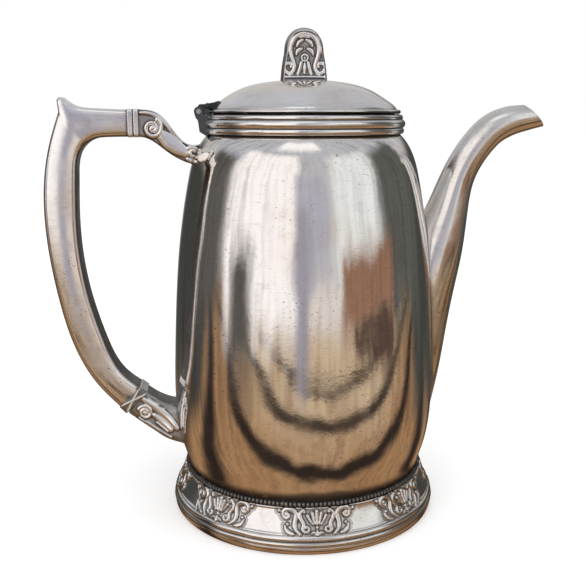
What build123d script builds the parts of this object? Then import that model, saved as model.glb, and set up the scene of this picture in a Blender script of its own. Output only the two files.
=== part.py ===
"""Silver coffee pot: a spun body on a decorated foot, a gooseneck spout, a squared handle, a hinged lid.

Millimetres. +Z is up, the spout points to +X and the handle to -X. The origin is the centre of the
foot, on the surface that the pot stands on.
"""

import os
from math import atan2, cos, radians, sin

from build123d import *

os.makedirs("parts", exist_ok=True)

# ---------------------------------------------------------------- driving dimensions
TOTAL_HEIGHT = 215.0
WALL = 1.2  # spun sheet
FIT = 0.05  # solder gap between a part and the one it is fixed to
RUNNING_GAP = 0.3  # gap between parts that move past each other

FOOT_RADIUS = 58.4  # where the rim wire wraps the foot
FOOT_BAND_BOTTOM = 8.4
FOOT_BAND_TOP = 18.8
FOOT_TOP = 21.2
WAIST_RADIUS = 53.9  # the body where it stands in the foot

NECK_RADIUS = 42.0  # outside of the upstand at the mouth
COLLAR_BOTTOM = 170.2
COLLAR_TOP = 178.0
NECK_TOP = 178.4

LID_BOTTOM = NECK_TOP + RUNNING_GAP
LID_FLANGE_RADIUS = 41.5
DOME_RADIUS = 40.6
DOME_WALL = 1.0
DOME_TOP = 193.2
BEZEL_DEPTH = 4.6

HINGE_X = -45.7
HINGE_Z = 179.7
KNUCKLE_RADIUS = 2.0
PIN_RADIUS = 1.0
PIN_CLEARANCE = 0.05
LID_KNUCKLE_HALF = 4.3
HINGE_HALF = 11.0

HANDLE_HALF_DEPTH = 7.25
BAND_HALF_DEPTH = 7.7
GRIP_WALL = 2.2
TENON_GAP = 0.2

STUD_RADIUS = 2.0
SPOUT_WALL = 1.1


def save(part, name):
    """Labels a finished piece and writes it as its own file."""
    part.label = name
    export_step(part, f"parts/{name}.step")


# ---------------------------------------------------------------- body
# The body's side from the foot to the neck, as radius and height.
BODY_SIDE = [
    (WAIST_RADIUS, FOOT_TOP),
    (56.2, 30.0),
    (58.9, 46.0),
    (58.8, 75.0),
    (56.0, 119.0),
    (51.2, 150.0),
    (46.8, 164.0),
    (NECK_RADIUS, COLLAR_BOTTOM),
]
BODY_SIDE_ENDS = [(0.1, 1.0), (-0.8, 0.7)]  # the way it runs at its foot and at its neck
BODY_FOOT_Z = 16.0


def body_solid(inset):
    """The body turned solid, drawn in from its outside surface by inset."""
    side_points = [(r - inset, z) for r, z in BODY_SIDE]
    with BuildPart() as turned:
        with BuildSketch(Plane.XZ):
            with BuildLine():
                side = Spline(*side_points, tangents=BODY_SIDE_ENDS)
                Polyline(
                    side @ 1,
                    (NECK_RADIUS - inset, NECK_TOP),
                    (0, NECK_TOP),
                    (0, BODY_FOOT_Z),
                    (WAIST_RADIUS - inset, BODY_FOOT_Z),
                    side @ 0,
                )
            make_face()
        revolve(axis=Axis.Z)
    return turned.part


body_outside = body_solid(0)
body_inside = body_solid(WALL)
body_cutter = body_solid(-FIT)

STRAINER_HOLE_RADIUS = 1.75
STRAINER_PITCH = 6.5
STRAINER_Z = 98.0
STRAINER_COLUMNS = 3
STRAINER_ROWS = 5
STRAINER_CUT_X = (40.0, 65.0)  # from inside the body's wall to outside it

with BuildPart() as body_shell:
    add(body_outside)
    add(body_inside, mode=Mode.SUBTRACT)
    # Holes pierced through the wall behind the spout hold back the grounds.
    with BuildSketch(Plane.YZ.offset(STRAINER_CUT_X[0])):
        with Locations((0, STRAINER_Z)):
            with HexLocations(STRAINER_PITCH / 2, STRAINER_COLUMNS, STRAINER_ROWS):
                Circle(STRAINER_HOLE_RADIUS)
    extrude(amount=STRAINER_CUT_X[1] - STRAINER_CUT_X[0], mode=Mode.SUBTRACT)

# The shell is two stamped halves, brazed along a seam that the spout and the handle's mounts cover.
for half_name, kept_side in (("body_front_half", Keep.TOP), ("body_rear_half", Keep.BOTTOM)):
    with BuildPart() as body_half:
        add(body_shell.part)
        split(bisect_by=Plane.XZ, keep=kept_side)
    save(body_half.part, half_name)

BOTTOM_EDGE_Z = 21.0
BOTTOM_CENTRE_Z = 24.0
BOTTOM_SKIRT_Z = 17.5
BOTTOM_CROWN = 0.75  # share of the dome's rise that is reached half way in

with BuildPart() as bottom_plate:
    plate_radius = WAIST_RADIUS - WALL - FIT
    mid_radius = plate_radius / 2
    mid_z = BOTTOM_EDGE_Z + BOTTOM_CROWN * (BOTTOM_CENTRE_Z - BOTTOM_EDGE_Z)
    with BuildSketch(Plane.XZ):
        with BuildLine():
            top = ThreePointArc(
                (0, BOTTOM_CENTRE_Z), (mid_radius, mid_z), (plate_radius, BOTTOM_EDGE_Z)
            )
            underside = ThreePointArc(
                (0, BOTTOM_CENTRE_Z - WALL),
                (mid_radius, mid_z - WALL),
                (plate_radius - WALL, BOTTOM_EDGE_Z - WALL),
            )
            Line(top @ 0, underside @ 0)
            Polyline(
                top @ 1,
                (plate_radius, BOTTOM_SKIRT_Z),
                (plate_radius - WALL, BOTTOM_SKIRT_Z),
                underside @ 1,
            )
        make_face()
    revolve(axis=Axis.Z)
save(bottom_plate.part, "bottom_plate")

# ---------------------------------------------------------------- foot
FOOT_BORE = WAIST_RADIUS + FIT
FOOT_BAND_LAP = 0.9  # how far the band's face stands out from the bore and from the rim
FOOT_BAND_MIDDLE = (56.5, 13.4)
FOOT_UNDERSIDE = [(FOOT_RADIUS - WALL, 7.0), (FOOT_BORE, 13.5)]

with BuildPart() as foot_ring:
    with BuildSketch(Plane.XZ):
        with BuildLine():
            flare = ThreePointArc(
                (FOOT_BORE + FOOT_BAND_LAP, FOOT_BAND_TOP),
                FOOT_BAND_MIDDLE,
                (FOOT_RADIUS + FOOT_BAND_LAP, FOOT_BAND_BOTTOM),
            )
            Polyline(
                flare @ 1,
                (FOOT_RADIUS, FOOT_BAND_BOTTOM),
                (FOOT_RADIUS, 0),
                (FOOT_RADIUS - WALL, 0),
                *FOOT_UNDERSIDE,
                (FOOT_BORE, FOOT_BAND_TOP),
                flare @ 0,
            )
        make_face()
    revolve(axis=Axis.Z)
save(foot_ring.part, "foot_ring")

# The rim wire's outside, from its top to the table: a bead, a second bead and a band.
RIM_TOP_BEAD = [(FOOT_RADIUS + 0.7, FOOT_BAND_BOTTOM), (60.4, 7.2), (60.0, 5.8)]
RIM_LOW_BEAD = [(60.0, 5.8), (60.9, 4.7), (60.3, 3.6)]
RIM_BAND = [(60.3, 3.6), (60.4, 1.7), (59.3, 0)]

with BuildPart() as foot_rim_wire:
    with BuildSketch(Plane.XZ):
        with BuildLine():
            ThreePointArc(*RIM_TOP_BEAD)
            ThreePointArc(*RIM_LOW_BEAD)
            ThreePointArc(*RIM_BAND)
            Polyline(
                RIM_BAND[-1],
                (FOOT_RADIUS, 0),
                (FOOT_RADIUS, FOOT_BAND_BOTTOM),
                RIM_TOP_BEAD[0],
            )
        make_face()
    revolve(axis=Axis.Z)
save(foot_rim_wire.part, "foot_rim_wire")

BEAD_WIRE_EDGE = FOOT_BORE + 0.4
BEAD_WIRE_RADIUS = FOOT_BORE + 1.1
BEAD_WIRE_Z = (FOOT_BAND_TOP + FOOT_TOP) / 2

with BuildPart() as foot_bead_wire:
    with BuildSketch(Plane.XZ):
        with BuildLine():
            bulge = ThreePointArc(
                (BEAD_WIRE_EDGE, FOOT_BAND_TOP),
                (BEAD_WIRE_RADIUS, BEAD_WIRE_Z),
                (BEAD_WIRE_EDGE, FOOT_TOP),
            )
            Polyline(bulge @ 1, (FOOT_BORE, FOOT_TOP), (FOOT_BORE, FOOT_BAND_TOP), bulge @ 0)
        make_face()
    revolve(axis=Axis.Z)
save(foot_bead_wire.part, "foot_bead_wire")

# ---------------------------------------------------------------- neck collar
# The collar's three reeds, each as the start, the crown and the end of its arc.
COLLAR_REEDS = [
    [(42.9, COLLAR_BOTTOM), (43.9, 171.5), (43.3, 172.8)],
    [(43.3, 172.8), (44.4, 174.5), (43.1, 176.3)],
    [(43.1, 176.3), (43.3, 177.1), (42.5, COLLAR_TOP)],
]


def collar_solid(grow, bore_radius):
    """The collar turned down to a bore, with its reeds moved out by grow."""
    with BuildPart() as turned:
        with BuildSketch(Plane.XZ):
            with BuildLine():
                for reed in COLLAR_REEDS:
                    ThreePointArc(*[(r + grow, z) for r, z in reed])
                Polyline(
                    (COLLAR_REEDS[-1][-1][0] + grow, COLLAR_TOP),
                    (bore_radius, COLLAR_TOP),
                    (bore_radius, COLLAR_BOTTOM),
                    (COLLAR_REEDS[0][0][0] + grow, COLLAR_BOTTOM),
                )
            make_face()
        revolve(axis=Axis.Z)
    return turned.part


save(collar_solid(0, NECK_RADIUS), "neck_collar")

# ---------------------------------------------------------------- spout
# Stations along the spout: centre x, centre z, half height, half width, and its heading in degrees.
SPOUT_STATIONS = [
    (46.5, 40.0, 13.0, 11.0, 82),
    (50.0, 62.0, 14.0, 13.0, 84),
    (52.5, 82.0, 14.4, 14.0, 81),
    (56.0, 102.0, 14.2, 13.8, 79),
    (61.3, 121.0, 12.4, 12.4, 75),
    (65.4, 134.5, 9.7, 10.4, 75),
    (68.7, 146.5, 7.9, 8.8, 72),
    (74.2, 159.0, 7.2, 7.8, 60),
    (81.4, 168.6, 7.1, 7.4, 46),
    (90.0, 174.5, 6.8, 7.0, 22),
    (98.0, 176.6, 6.0, 6.4, 8),
    (109.0, 178.0, 4.6, 5.4, 6),
]
LIP_TOP = (99.6, 182.0)
LIP_POINT = (107.5, 174.0)
SPOUT_ROOT_X = 45.0


def spout_solid(inset):
    """The spout lofted solid, with each station's ellipse drawn in by inset."""
    with BuildPart() as lofted:
        for x, z, half_height, half_width, heading in SPOUT_STATIONS:
            along = (cos(radians(heading)), 0, sin(radians(heading)))
            with BuildSketch(Plane(origin=(x, 0, z), x_dir=(0, 1, 0), z_dir=along)):
                Ellipse(half_width - inset, half_height - inset)
        loft()
    return lofted.part


spout_outside = spout_solid(0)
spout_bore = spout_solid(SPOUT_WALL)
lip_angle = atan2(LIP_TOP[1] - LIP_POINT[1], LIP_TOP[0] - LIP_POINT[0])
lip_plane = Plane(
    origin=(LIP_POINT[0], 0, LIP_POINT[1]), z_dir=(sin(lip_angle), 0, -cos(lip_angle))
)

for half_name, kept_side in (("spout_front_half", Keep.TOP), ("spout_rear_half", Keep.BOTTOM)):
    with BuildPart() as spout_half:
        add(spout_outside)
        add(spout_bore, mode=Mode.SUBTRACT)
        add(body_cutter, mode=Mode.SUBTRACT)
        split(bisect_by=lip_plane, keep=Keep.BOTTOM)
        split(bisect_by=Plane.YZ.offset(SPOUT_ROOT_X), keep=Keep.TOP)
        split(bisect_by=Plane.XZ, keep=kept_side)
    save(spout_half.part, half_name)

# ---------------------------------------------------------------- handle
# The grip's squared outline, as x and z: its outside from the upper band to the lower one, then its inside.
BAND_X = (-76.1, -71.1)
UPPER_BAND_Z = (168.9, 180.8)
GRIP_TOP_EDGE = [(BAND_X[0], 180.5), (-92.0, 181.2), (-98.2, 182.2), (-103.4, 185.6)]
HORN_TIP = (-104.5, 185.4)
HORN_FOOT = (-105.1, 184.0)
GRIP_OUTER_EDGE = [
    (-104.7, 179.5),
    (-109.0, 167.0),
    (-112.4, 150.0),
    (-112.8, 128.0),
    (-109.0, 99.0),
    (-101.5, 72.5),
    (-93.0, 57.8),
    (-84.6, 48.4),
]
LOWER_BAND_OUTER = ((-84.6, 48.4), (-81.4, 45.1))
LOWER_BAND_INNER = ((-75.0, 57.6), (-71.4, 54.8))
GRIP_INNER_EDGE = [
    LOWER_BAND_INNER[0],
    (-81.5, 63.0),
    (-90.3, 80.5),
    (-96.2, 102.0),
    (-99.2, 130.0),
    (-98.6, 152.0),
    (-96.2, 163.4),
    (-90.8, 168.0),
    (-84.5, 169.0),
    (BAND_X[0], 169.1),
]


def inset_path(points, amount, overrun=(0, 0)):
    """The same path moved to its left by amount, with its two ends drawn out along the way it runs."""
    moved = []
    for index, (x, z) in enumerate(points):
        before = points[max(index - 1, 0)]
        after = points[min(index + 1, len(points) - 1)]
        heading = atan2(after[1] - before[1], after[0] - before[0])
        shift = 0
        if index == 0:
            shift = -overrun[0]
        if index == len(points) - 1:
            shift = overrun[1]
        moved.append(
            (
                x - amount * sin(heading) + shift * cos(heading),
                z + amount * cos(heading) + shift * sin(heading),
            )
        )
    return moved


def slab(outline, half_depth):
    """A plate of the given half depth across the handle's plane, with the outline's shape."""
    with BuildPart() as plate:
        with BuildSketch(Plane.XZ.offset(-half_depth)):
            add(outline)
        extrude(amount=2 * half_depth)
    return plate.part


with BuildSketch(Plane.XZ) as grip_outline:
    with BuildLine():
        Spline(*GRIP_TOP_EDGE)
        ThreePointArc(GRIP_TOP_EDGE[-1], HORN_TIP, HORN_FOOT)
        Line(HORN_FOOT, GRIP_OUTER_EDGE[0])
        Spline(*GRIP_OUTER_EDGE)
        Line(GRIP_OUTER_EDGE[-1], GRIP_INNER_EDGE[0])
        Spline(*GRIP_INNER_EDGE)
        Line(GRIP_INNER_EDGE[-1], GRIP_TOP_EDGE[0])
    make_face()

# The hollow's outline. It runs out through both ends, which the bands close.
with BuildSketch(Plane.XZ) as grip_hollow_outline:
    with BuildLine():
        roof = Spline(*inset_path(GRIP_TOP_EDGE[:-1], GRIP_WALL, overrun=(1, 0)))
        outside = Spline(*inset_path(GRIP_OUTER_EDGE, GRIP_WALL, overrun=(0, 1)))
        inside = Spline(*inset_path(GRIP_INNER_EDGE, GRIP_WALL, overrun=(1, 1)))
        Line(roof @ 1, outside @ 0)
        Line(outside @ 1, inside @ 0)
        Line(inside @ 1, roof @ 0)
    make_face()

grip_slab = slab(grip_outline.sketch_local, HANDLE_HALF_DEPTH)
grip_hollow = slab(grip_hollow_outline.sketch_local, HANDLE_HALF_DEPTH - GRIP_WALL / 2)

for half_name, kept_side in (("grip_front_half", Keep.TOP), ("grip_rear_half", Keep.BOTTOM)):
    with BuildPart() as grip_half:
        add(grip_slab)
        add(grip_hollow, mode=Mode.SUBTRACT)
        split(bisect_by=Plane.XZ, keep=kept_side)
    save(grip_half.part, half_name)

# The sleeves that cover the joints between the grip and its two cast mounts.
with BuildSketch(Plane.XZ) as upper_band_outline:
    with BuildLine():
        Polyline(
            (BAND_X[0], UPPER_BAND_Z[0]),
            (BAND_X[1], UPPER_BAND_Z[0]),
            (BAND_X[1], UPPER_BAND_Z[1]),
            (BAND_X[0], UPPER_BAND_Z[1]),
            close=True,
        )
    make_face()

with BuildSketch(Plane.XZ) as lower_band_outline:
    with BuildLine():
        Polyline(
            LOWER_BAND_OUTER[0],
            LOWER_BAND_OUTER[1],
            LOWER_BAND_INNER[1],
            LOWER_BAND_INNER[0],
            close=True,
        )
    make_face()

lower_slope = atan2(
    LOWER_BAND_OUTER[1][1] - LOWER_BAND_OUTER[0][1],
    LOWER_BAND_OUTER[1][0] - LOWER_BAND_OUTER[0][0],
)
upper_joint = Plane(
    origin=(BAND_X[1], 0, sum(UPPER_BAND_Z) / 2), x_dir=(0, 1, 0), z_dir=(-1, 0, 0)
)
lower_joint = Plane(
    origin=(
        (LOWER_BAND_OUTER[1][0] + LOWER_BAND_INNER[1][0]) / 2,
        0,
        (LOWER_BAND_OUTER[1][1] + LOWER_BAND_INNER[1][1]) / 2,
    ),
    x_dir=(0, 1, 0),
    z_dir=(-cos(lower_slope), 0, -sin(lower_slope)),
)
TENON_SIZE = (7.0, 5.0)
TENON_LENGTH = 11.0


def tenon(joint, gap):
    """The mount's tongue through the band into the hollow grip, or the hole for it when gap is over zero."""
    with BuildPart() as tongue:
        with BuildSketch(joint.offset(-gap)):
            Rectangle(TENON_SIZE[0] + 2 * gap, TENON_SIZE[1] + 2 * gap)
        extrude(amount=TENON_LENGTH + gap)
    return tongue.part


for band_name, outline, joint in (
    ("handle_upper_band", upper_band_outline, upper_joint),
    ("handle_lower_band", lower_band_outline, lower_joint),
):
    band_slab = slab(outline.sketch_local, BAND_HALF_DEPTH)
    tenon_hole = tenon(joint, TENON_GAP)
    with BuildPart() as band:
        add(band_slab)
        add(tenon_hole, mode=Mode.SUBTRACT)
    save(band.part, band_name)

# Upper mount: a volute, then a strap that dips to the shoulder. Both edges run on into the body.
UPPER_MOUNT_CREST = [
    (BAND_X[1], 180.5),
    (-64.5, 179.4),
    (-58.6, 173.7),
    (-50.5, 165.6),
    (-38.0, 167.0),
]
UPPER_MOUNT_BELLY = [(-38.0, 156.5), (-50.0, 157.7), (-60.2, 163.2), (BAND_X[1], 169.0)]

with BuildSketch(Plane.XZ) as upper_mount_outline:
    with BuildLine():
        crest = Spline(*UPPER_MOUNT_CREST, tangents=[(1.0, 0.0), (1.0, 0.1)])
        belly = Spline(*UPPER_MOUNT_BELLY, tangents=[(-1.0, 0.0), (-1.0, 0.0)])
        Line(crest @ 1, belly @ 0)
        Line(belly @ 1, crest @ 0)
    make_face()

upper_mount_slab = slab(upper_mount_outline.sketch_local, HANDLE_HALF_DEPTH)
upper_tenon = tenon(upper_joint, 0)
with BuildPart() as handle_upper_mount:
    add(upper_mount_slab)
    add(upper_tenon)
    add(body_cutter, mode=Mode.SUBTRACT)
save(handle_upper_mount.part, "handle_upper_mount")

# Lower mount: it spreads from the band's section to an oval flange on the body. Its stations read
# as the spout's do.
LOWER_MOUNT_CORNER = 0.45  # the section's corner radius as a share of its half width
LOWER_MOUNT_STATIONS = [
    (-76.4, 50.0, 6.7, 7.25, -38),
    (-71.5, 45.6, 7.4, 7.6, -36),
    (-65.0, 41.0, 8.8, 8.6, -30),
    (-59.5, 38.6, 10.2, 10.2, -18),
    (-51.0, 37.0, 11.2, 11.2, -8),
]
with BuildPart() as lower_mount_loft:
    for x, z, half_height, half_width, heading in LOWER_MOUNT_STATIONS:
        along = (cos(radians(heading)), 0, sin(radians(heading)))
        with BuildSketch(Plane(origin=(x, 0, z), x_dir=(0, 1, 0), z_dir=along)):
            RectangleRounded(2 * half_width, 2 * half_height, LOWER_MOUNT_CORNER * half_width)
    loft()

lower_tenon = tenon(lower_joint, 0)
lower_band_slab = slab(lower_band_outline.sketch_local, BAND_HALF_DEPTH)
with BuildPart() as handle_lower_mount:
    add(lower_mount_loft.part)
    add(lower_band_slab, mode=Mode.SUBTRACT)
    add(lower_tenon)
    add(body_cutter, mode=Mode.SUBTRACT)
save(handle_lower_mount.part, "handle_lower_mount")

# ---------------------------------------------------------------- lid
DOME_SIDE = [
    (DOME_RADIUS, LID_BOTTOM + 1.8),
    (37.1, 183.8),
    (28.6, 188.9),
    (15.0, 192.3),
    (0, DOME_TOP),
]
DOME_SIDE_ENDS = [(-0.5, 1.0), (-1.0, 0.0)]


def dome_solid(grow, base_z):
    """The lid's dome turned solid down to base_z, with its outside moved out by grow."""
    crown_points = [(r + grow if r else 0, z + grow) for r, z in DOME_SIDE]
    with BuildPart() as turned:
        with BuildSketch(Plane.XZ):
            with BuildLine():
                crown = Spline(*crown_points, tangents=DOME_SIDE_ENDS)
                Polyline(crown @ 1, (0, base_z), (DOME_RADIUS + grow, base_z), crown @ 0)
            make_face()
        revolve(axis=Axis.Z)
    return turned.part


dome_outside = dome_solid(0, LID_BOTTOM)
dome_inside = dome_solid(-DOME_WALL, LID_BOTTOM - DOME_WALL)
dome_cutter = dome_solid(FIT, LID_BOTTOM)

with BuildPart() as lid_dome:
    with BuildSketch(Plane.XY.offset(LID_BOTTOM)):
        Circle(LID_FLANGE_RADIUS)
    extrude(amount=DOME_WALL)
    add(dome_outside)
    add(dome_inside, mode=Mode.SUBTRACT)
    with BuildSketch(Plane.XY.offset(LID_BOTTOM)):
        Circle(STUD_RADIUS + FIT)
    extrude(amount=DOME_TOP, mode=Mode.SUBTRACT)
save(lid_dome.part, "lid_dome")

LID_RIM_TOP = 180.4
LID_RIM_RADIUS = 42.3

with BuildPart() as lid_rim_wire:
    with BuildSketch(Plane.XZ):
        with BuildLine():
            edge = ThreePointArc(
                (LID_FLANGE_RADIUS, LID_RIM_TOP),
                (LID_RIM_RADIUS, (LID_BOTTOM + LID_RIM_TOP) / 2),
                (LID_FLANGE_RADIUS, LID_BOTTOM),
            )
            Line(edge @ 1, edge @ 0)
        make_face()
    revolve(axis=Axis.Z)
save(lid_rim_wire.part, "lid_rim_wire")

BEZEL_RADIUS = DOME_RADIUS - DOME_WALL - FIT
BEZEL_WALL = 0.9
BEZEL_LAP = 0.7  # how far it stands up inside the dome

with BuildPart() as lid_bezel:
    with BuildSketch(Plane.XY.offset(LID_BOTTOM - BEZEL_DEPTH)):
        Circle(BEZEL_RADIUS)
        Circle(BEZEL_RADIUS - BEZEL_WALL, mode=Mode.SUBTRACT)
    extrude(amount=BEZEL_DEPTH + BEZEL_LAP)
save(lid_bezel.part, "lid_bezel")

# ---------------------------------------------------------------- finial
FINIAL_BASE_Z = 190.0
FINIAL_HALF_WIDTH = 10.3
FINIAL_SIDE = [(FINIAL_HALF_WIDTH, 191.5), (9.6, 199.0), (8.7, 204.0)]
FINIAL_SHOULDER = (6.6, 210.4)
FINIAL_HALF_DEPTH = 4.2
FINIAL_BEVEL = 1.0

WASHER_TOP = 191.7
WASHER_THICK = 0.9
WASHER_RADIUS = 5.5
WASHER_CLEARANCE = 0.2
NUT_THICK = 2.6
NUT_RADIUS = 4.0
STUD_END = 0.8  # how far the stud stands out below the nut

# The plaque is widest across its middle plane and bevels in to its front and back faces.
with BuildPart() as finial_plaque:
    for offset_y in (-FINIAL_HALF_DEPTH, 0, FINIAL_HALF_DEPTH):
        bevel = FINIAL_BEVEL if offset_y else 0
        flank_points = [(r - bevel, z) for r, z in FINIAL_SIDE]
        shoulder = (FINIAL_SHOULDER[0] - bevel, FINIAL_SHOULDER[1] - bevel / 2)
        peak = (0, TOTAL_HEIGHT - bevel)
        with BuildSketch(Plane.XZ.offset(offset_y)):
            with BuildLine():
                right_flank = Spline(*flank_points)
                ThreePointArc(flank_points[-1], shoulder, peak)
                ThreePointArc(
                    peak, (-shoulder[0], shoulder[1]), (-flank_points[-1][0], flank_points[-1][1])
                )
                left_flank = Spline(*[(-r, z) for r, z in reversed(flank_points)])
                Polyline(
                    left_flank @ 1,
                    (-flank_points[0][0], FINIAL_BASE_Z),
                    (flank_points[0][0], FINIAL_BASE_Z),
                    right_flank @ 0,
                )
            make_face()
    loft(ruled=True)
    add(dome_cutter, mode=Mode.SUBTRACT)

with BuildPart() as finial:
    add(finial_plaque.part)
    with BuildSketch(Plane.XY.offset(WASHER_TOP - WASHER_THICK - NUT_THICK - STUD_END)):
        Circle(STUD_RADIUS)
    extrude(until=Until.NEXT)
save(finial.part, "finial")

with BuildPart() as finial_washer:
    with BuildSketch(Plane.XY.offset(WASHER_TOP - WASHER_THICK)):
        Circle(WASHER_RADIUS)
        Circle(STUD_RADIUS + WASHER_CLEARANCE, mode=Mode.SUBTRACT)
    extrude(amount=WASHER_THICK)
save(finial_washer.part, "finial_washer")

with BuildPart() as finial_nut:
    with BuildSketch(Plane.XY.offset(WASHER_TOP - WASHER_THICK - NUT_THICK)):
        RegularPolygon(NUT_RADIUS, 6)
        Circle(STUD_RADIUS, mode=Mode.SUBTRACT)
    extrude(amount=NUT_THICK)
save(finial_nut.part, "finial_nut")

# ---------------------------------------------------------------- hinge
LEAF_HALF = 9.5
PIN_END = 0.4  # how far the pin stands out past each knuckle
LID_LEAF_TOP_Z = 182.9
LID_LEAF_BASE_Z = 180.9
hinge_axis = Plane(origin=(HINGE_X, 0, HINGE_Z), x_dir=(1, 0, 0), z_dir=(0, -1, 0))


def barrel(radius, half_length):
    """A cylinder along the hinge's axis, centred on the pot's middle plane."""
    with BuildPart() as cylinder:
        with BuildSketch(hinge_axis.offset(-half_length)):
            Circle(radius)
        extrude(amount=2 * half_length)
    return cylinder.part


# The lid's leaf lies on the dome, and its arm reaches out over the collar to the knuckle.
LID_LEAF = [
    (-43.4, LID_LEAF_BASE_Z),
    (-43.4, 182.8),
    (-39.2, 183.8),
    (-36.0, 185.9),
    (-34.4, 187.0),
    (-33.6, 186.4),
    (-36.0, LID_LEAF_BASE_Z),
]

with BuildSketch(Plane.XZ) as lid_leaf_outline:
    with BuildLine():
        Polyline(*LID_LEAF, close=True)
    make_face()

with BuildSketch(Plane.XZ) as lid_arm_outline:
    with BuildLine():
        Polyline(
            (HINGE_X - 0.6, HINGE_Z + 1.7),
            (HINGE_X + 0.2, LID_LEAF_TOP_Z),
            (-43.0, LID_LEAF_TOP_Z),
            (-43.0, LID_LEAF_BASE_Z),
            (HINGE_X + 1.7, HINGE_Z + 0.8),
            close=True,
        )
    make_face()

lid_leaf_slab = slab(lid_leaf_outline.sketch_local, LEAF_HALF)
lid_arm_slab = slab(lid_arm_outline.sketch_local, LID_KNUCKLE_HALF)
lid_knuckle = barrel(KNUCKLE_RADIUS, LID_KNUCKLE_HALF)
lid_pin_hole = barrel(PIN_RADIUS + PIN_CLEARANCE, LID_KNUCKLE_HALF + 1)
with BuildPart() as lid_hinge_leaf:
    add(lid_leaf_slab)
    add(lid_arm_slab)
    add(lid_knuckle)
    add(lid_pin_hole, mode=Mode.SUBTRACT)
    add(dome_cutter, mode=Mode.SUBTRACT)
save(lid_hinge_leaf.part, "lid_hinge_leaf")

# The body's leaf is a bracket that wraps the collar below the barrel.
BRACKET_TOP_Z = NECK_TOP - 0.1
BRACKET_BACK = [(HINGE_X - 1.4, 177.2), (-46.1, 175.9), (-45.5, 171.2), (-42.6, 169.4)]

with BuildSketch(Plane.XZ) as bracket_outline:
    with BuildLine():
        Polyline(
            (HINGE_X - 1.9, HINGE_Z - 0.6),
            *BRACKET_BACK,
            (-40.6, 171.0),
            (-40.6, BRACKET_TOP_Z),
            (HINGE_X + 1.6, BRACKET_TOP_Z),
            (HINGE_X, HINGE_Z),
            close=True,
        )
    make_face()

bracket_slab = slab(bracket_outline.sketch_local, HINGE_HALF)
body_knuckles = barrel(KNUCKLE_RADIUS, HINGE_HALF)
knuckle_gap = barrel(KNUCKLE_RADIUS + RUNNING_GAP, LID_KNUCKLE_HALF + RUNNING_GAP)
body_pin_hole = barrel(PIN_RADIUS, HINGE_HALF + 1)
collar_cutter = collar_solid(FIT, 0)
with BuildPart() as body_hinge_leaf:
    add(bracket_slab)
    add(body_knuckles)
    add(knuckle_gap, mode=Mode.SUBTRACT)
    add(body_pin_hole, mode=Mode.SUBTRACT)
    add(collar_cutter, mode=Mode.SUBTRACT)
    add(body_cutter, mode=Mode.SUBTRACT)
save(body_hinge_leaf.part, "body_hinge_leaf")

hinge_pin = barrel(PIN_RADIUS, HINGE_HALF + PIN_END)
save(hinge_pin, "hinge_pin")
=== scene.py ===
"""Silver coffee pot: the looks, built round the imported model.

Sizes in this file are millimetres until a mesh is made, and the frame is the pot's own: +Z up, the spout
to +X, the handle to -X, and the side that the photo shows to -Y.
"""

import math

import bmesh
import bpy
import numpy as np
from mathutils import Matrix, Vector, noise


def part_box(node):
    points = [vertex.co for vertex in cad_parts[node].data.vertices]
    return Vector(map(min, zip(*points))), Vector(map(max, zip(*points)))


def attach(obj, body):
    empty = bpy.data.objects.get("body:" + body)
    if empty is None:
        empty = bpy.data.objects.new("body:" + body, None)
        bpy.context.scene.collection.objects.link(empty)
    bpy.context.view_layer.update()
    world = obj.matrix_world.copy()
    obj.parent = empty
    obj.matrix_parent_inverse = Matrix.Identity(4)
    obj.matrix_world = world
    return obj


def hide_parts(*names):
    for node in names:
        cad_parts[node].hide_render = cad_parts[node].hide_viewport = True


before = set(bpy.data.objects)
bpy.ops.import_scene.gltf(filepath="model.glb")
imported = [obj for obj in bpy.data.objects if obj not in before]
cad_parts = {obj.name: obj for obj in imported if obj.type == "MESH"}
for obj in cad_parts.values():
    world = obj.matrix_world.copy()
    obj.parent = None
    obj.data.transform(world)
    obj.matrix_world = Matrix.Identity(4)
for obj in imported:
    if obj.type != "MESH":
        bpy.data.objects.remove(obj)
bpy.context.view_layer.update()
MM = 0.001


# --- curves and fields
def spline(points, count, start=None, end=None):
    """A smooth cubic curve through the points, natural at its ends unless it is given a direction there."""
    p = np.array(points, float)
    steps = np.linalg.norm(np.diff(p, axis=0), axis=1)
    t = np.concatenate([[0.0], np.cumsum(steps)])
    n = len(p)
    system = np.eye(n)
    target = np.zeros_like(p)
    for i in range(1, n - 1):
        system[i, i - 1 : i + 2] = steps[i - 1], 2 * (steps[i - 1] + steps[i]), steps[i]
        target[i] = 6 * ((p[i + 1] - p[i]) / steps[i] - (p[i] - p[i - 1]) / steps[i - 1])
    if start is not None:
        system[0, :2] = 2 * steps[0], steps[0]
        target[0] = 6 * ((p[1] - p[0]) / steps[0] - np.array(start) / np.linalg.norm(start))
    if end is not None:
        system[-1, -2:] = steps[-1], 2 * steps[-1]
        target[-1] = 6 * (np.array(end) / np.linalg.norm(end) - (p[-1] - p[-2]) / steps[-1])
    bend = np.linalg.solve(system, target)
    at = np.linspace(0, t[-1], count)
    i = np.clip(np.searchsorted(t, at, side="right") - 1, 0, n - 2)
    h = steps[i][:, None]
    a = (t[i + 1] - at)[:, None]
    b = (at - t[i])[:, None]
    cubic = (bend[i] * a**3 + bend[i + 1] * b**3) / (6 * h)
    return cubic + (p[i] / h - bend[i] * h / 6) * a + (p[i + 1] / h - bend[i + 1] * h / 6) * b


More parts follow.
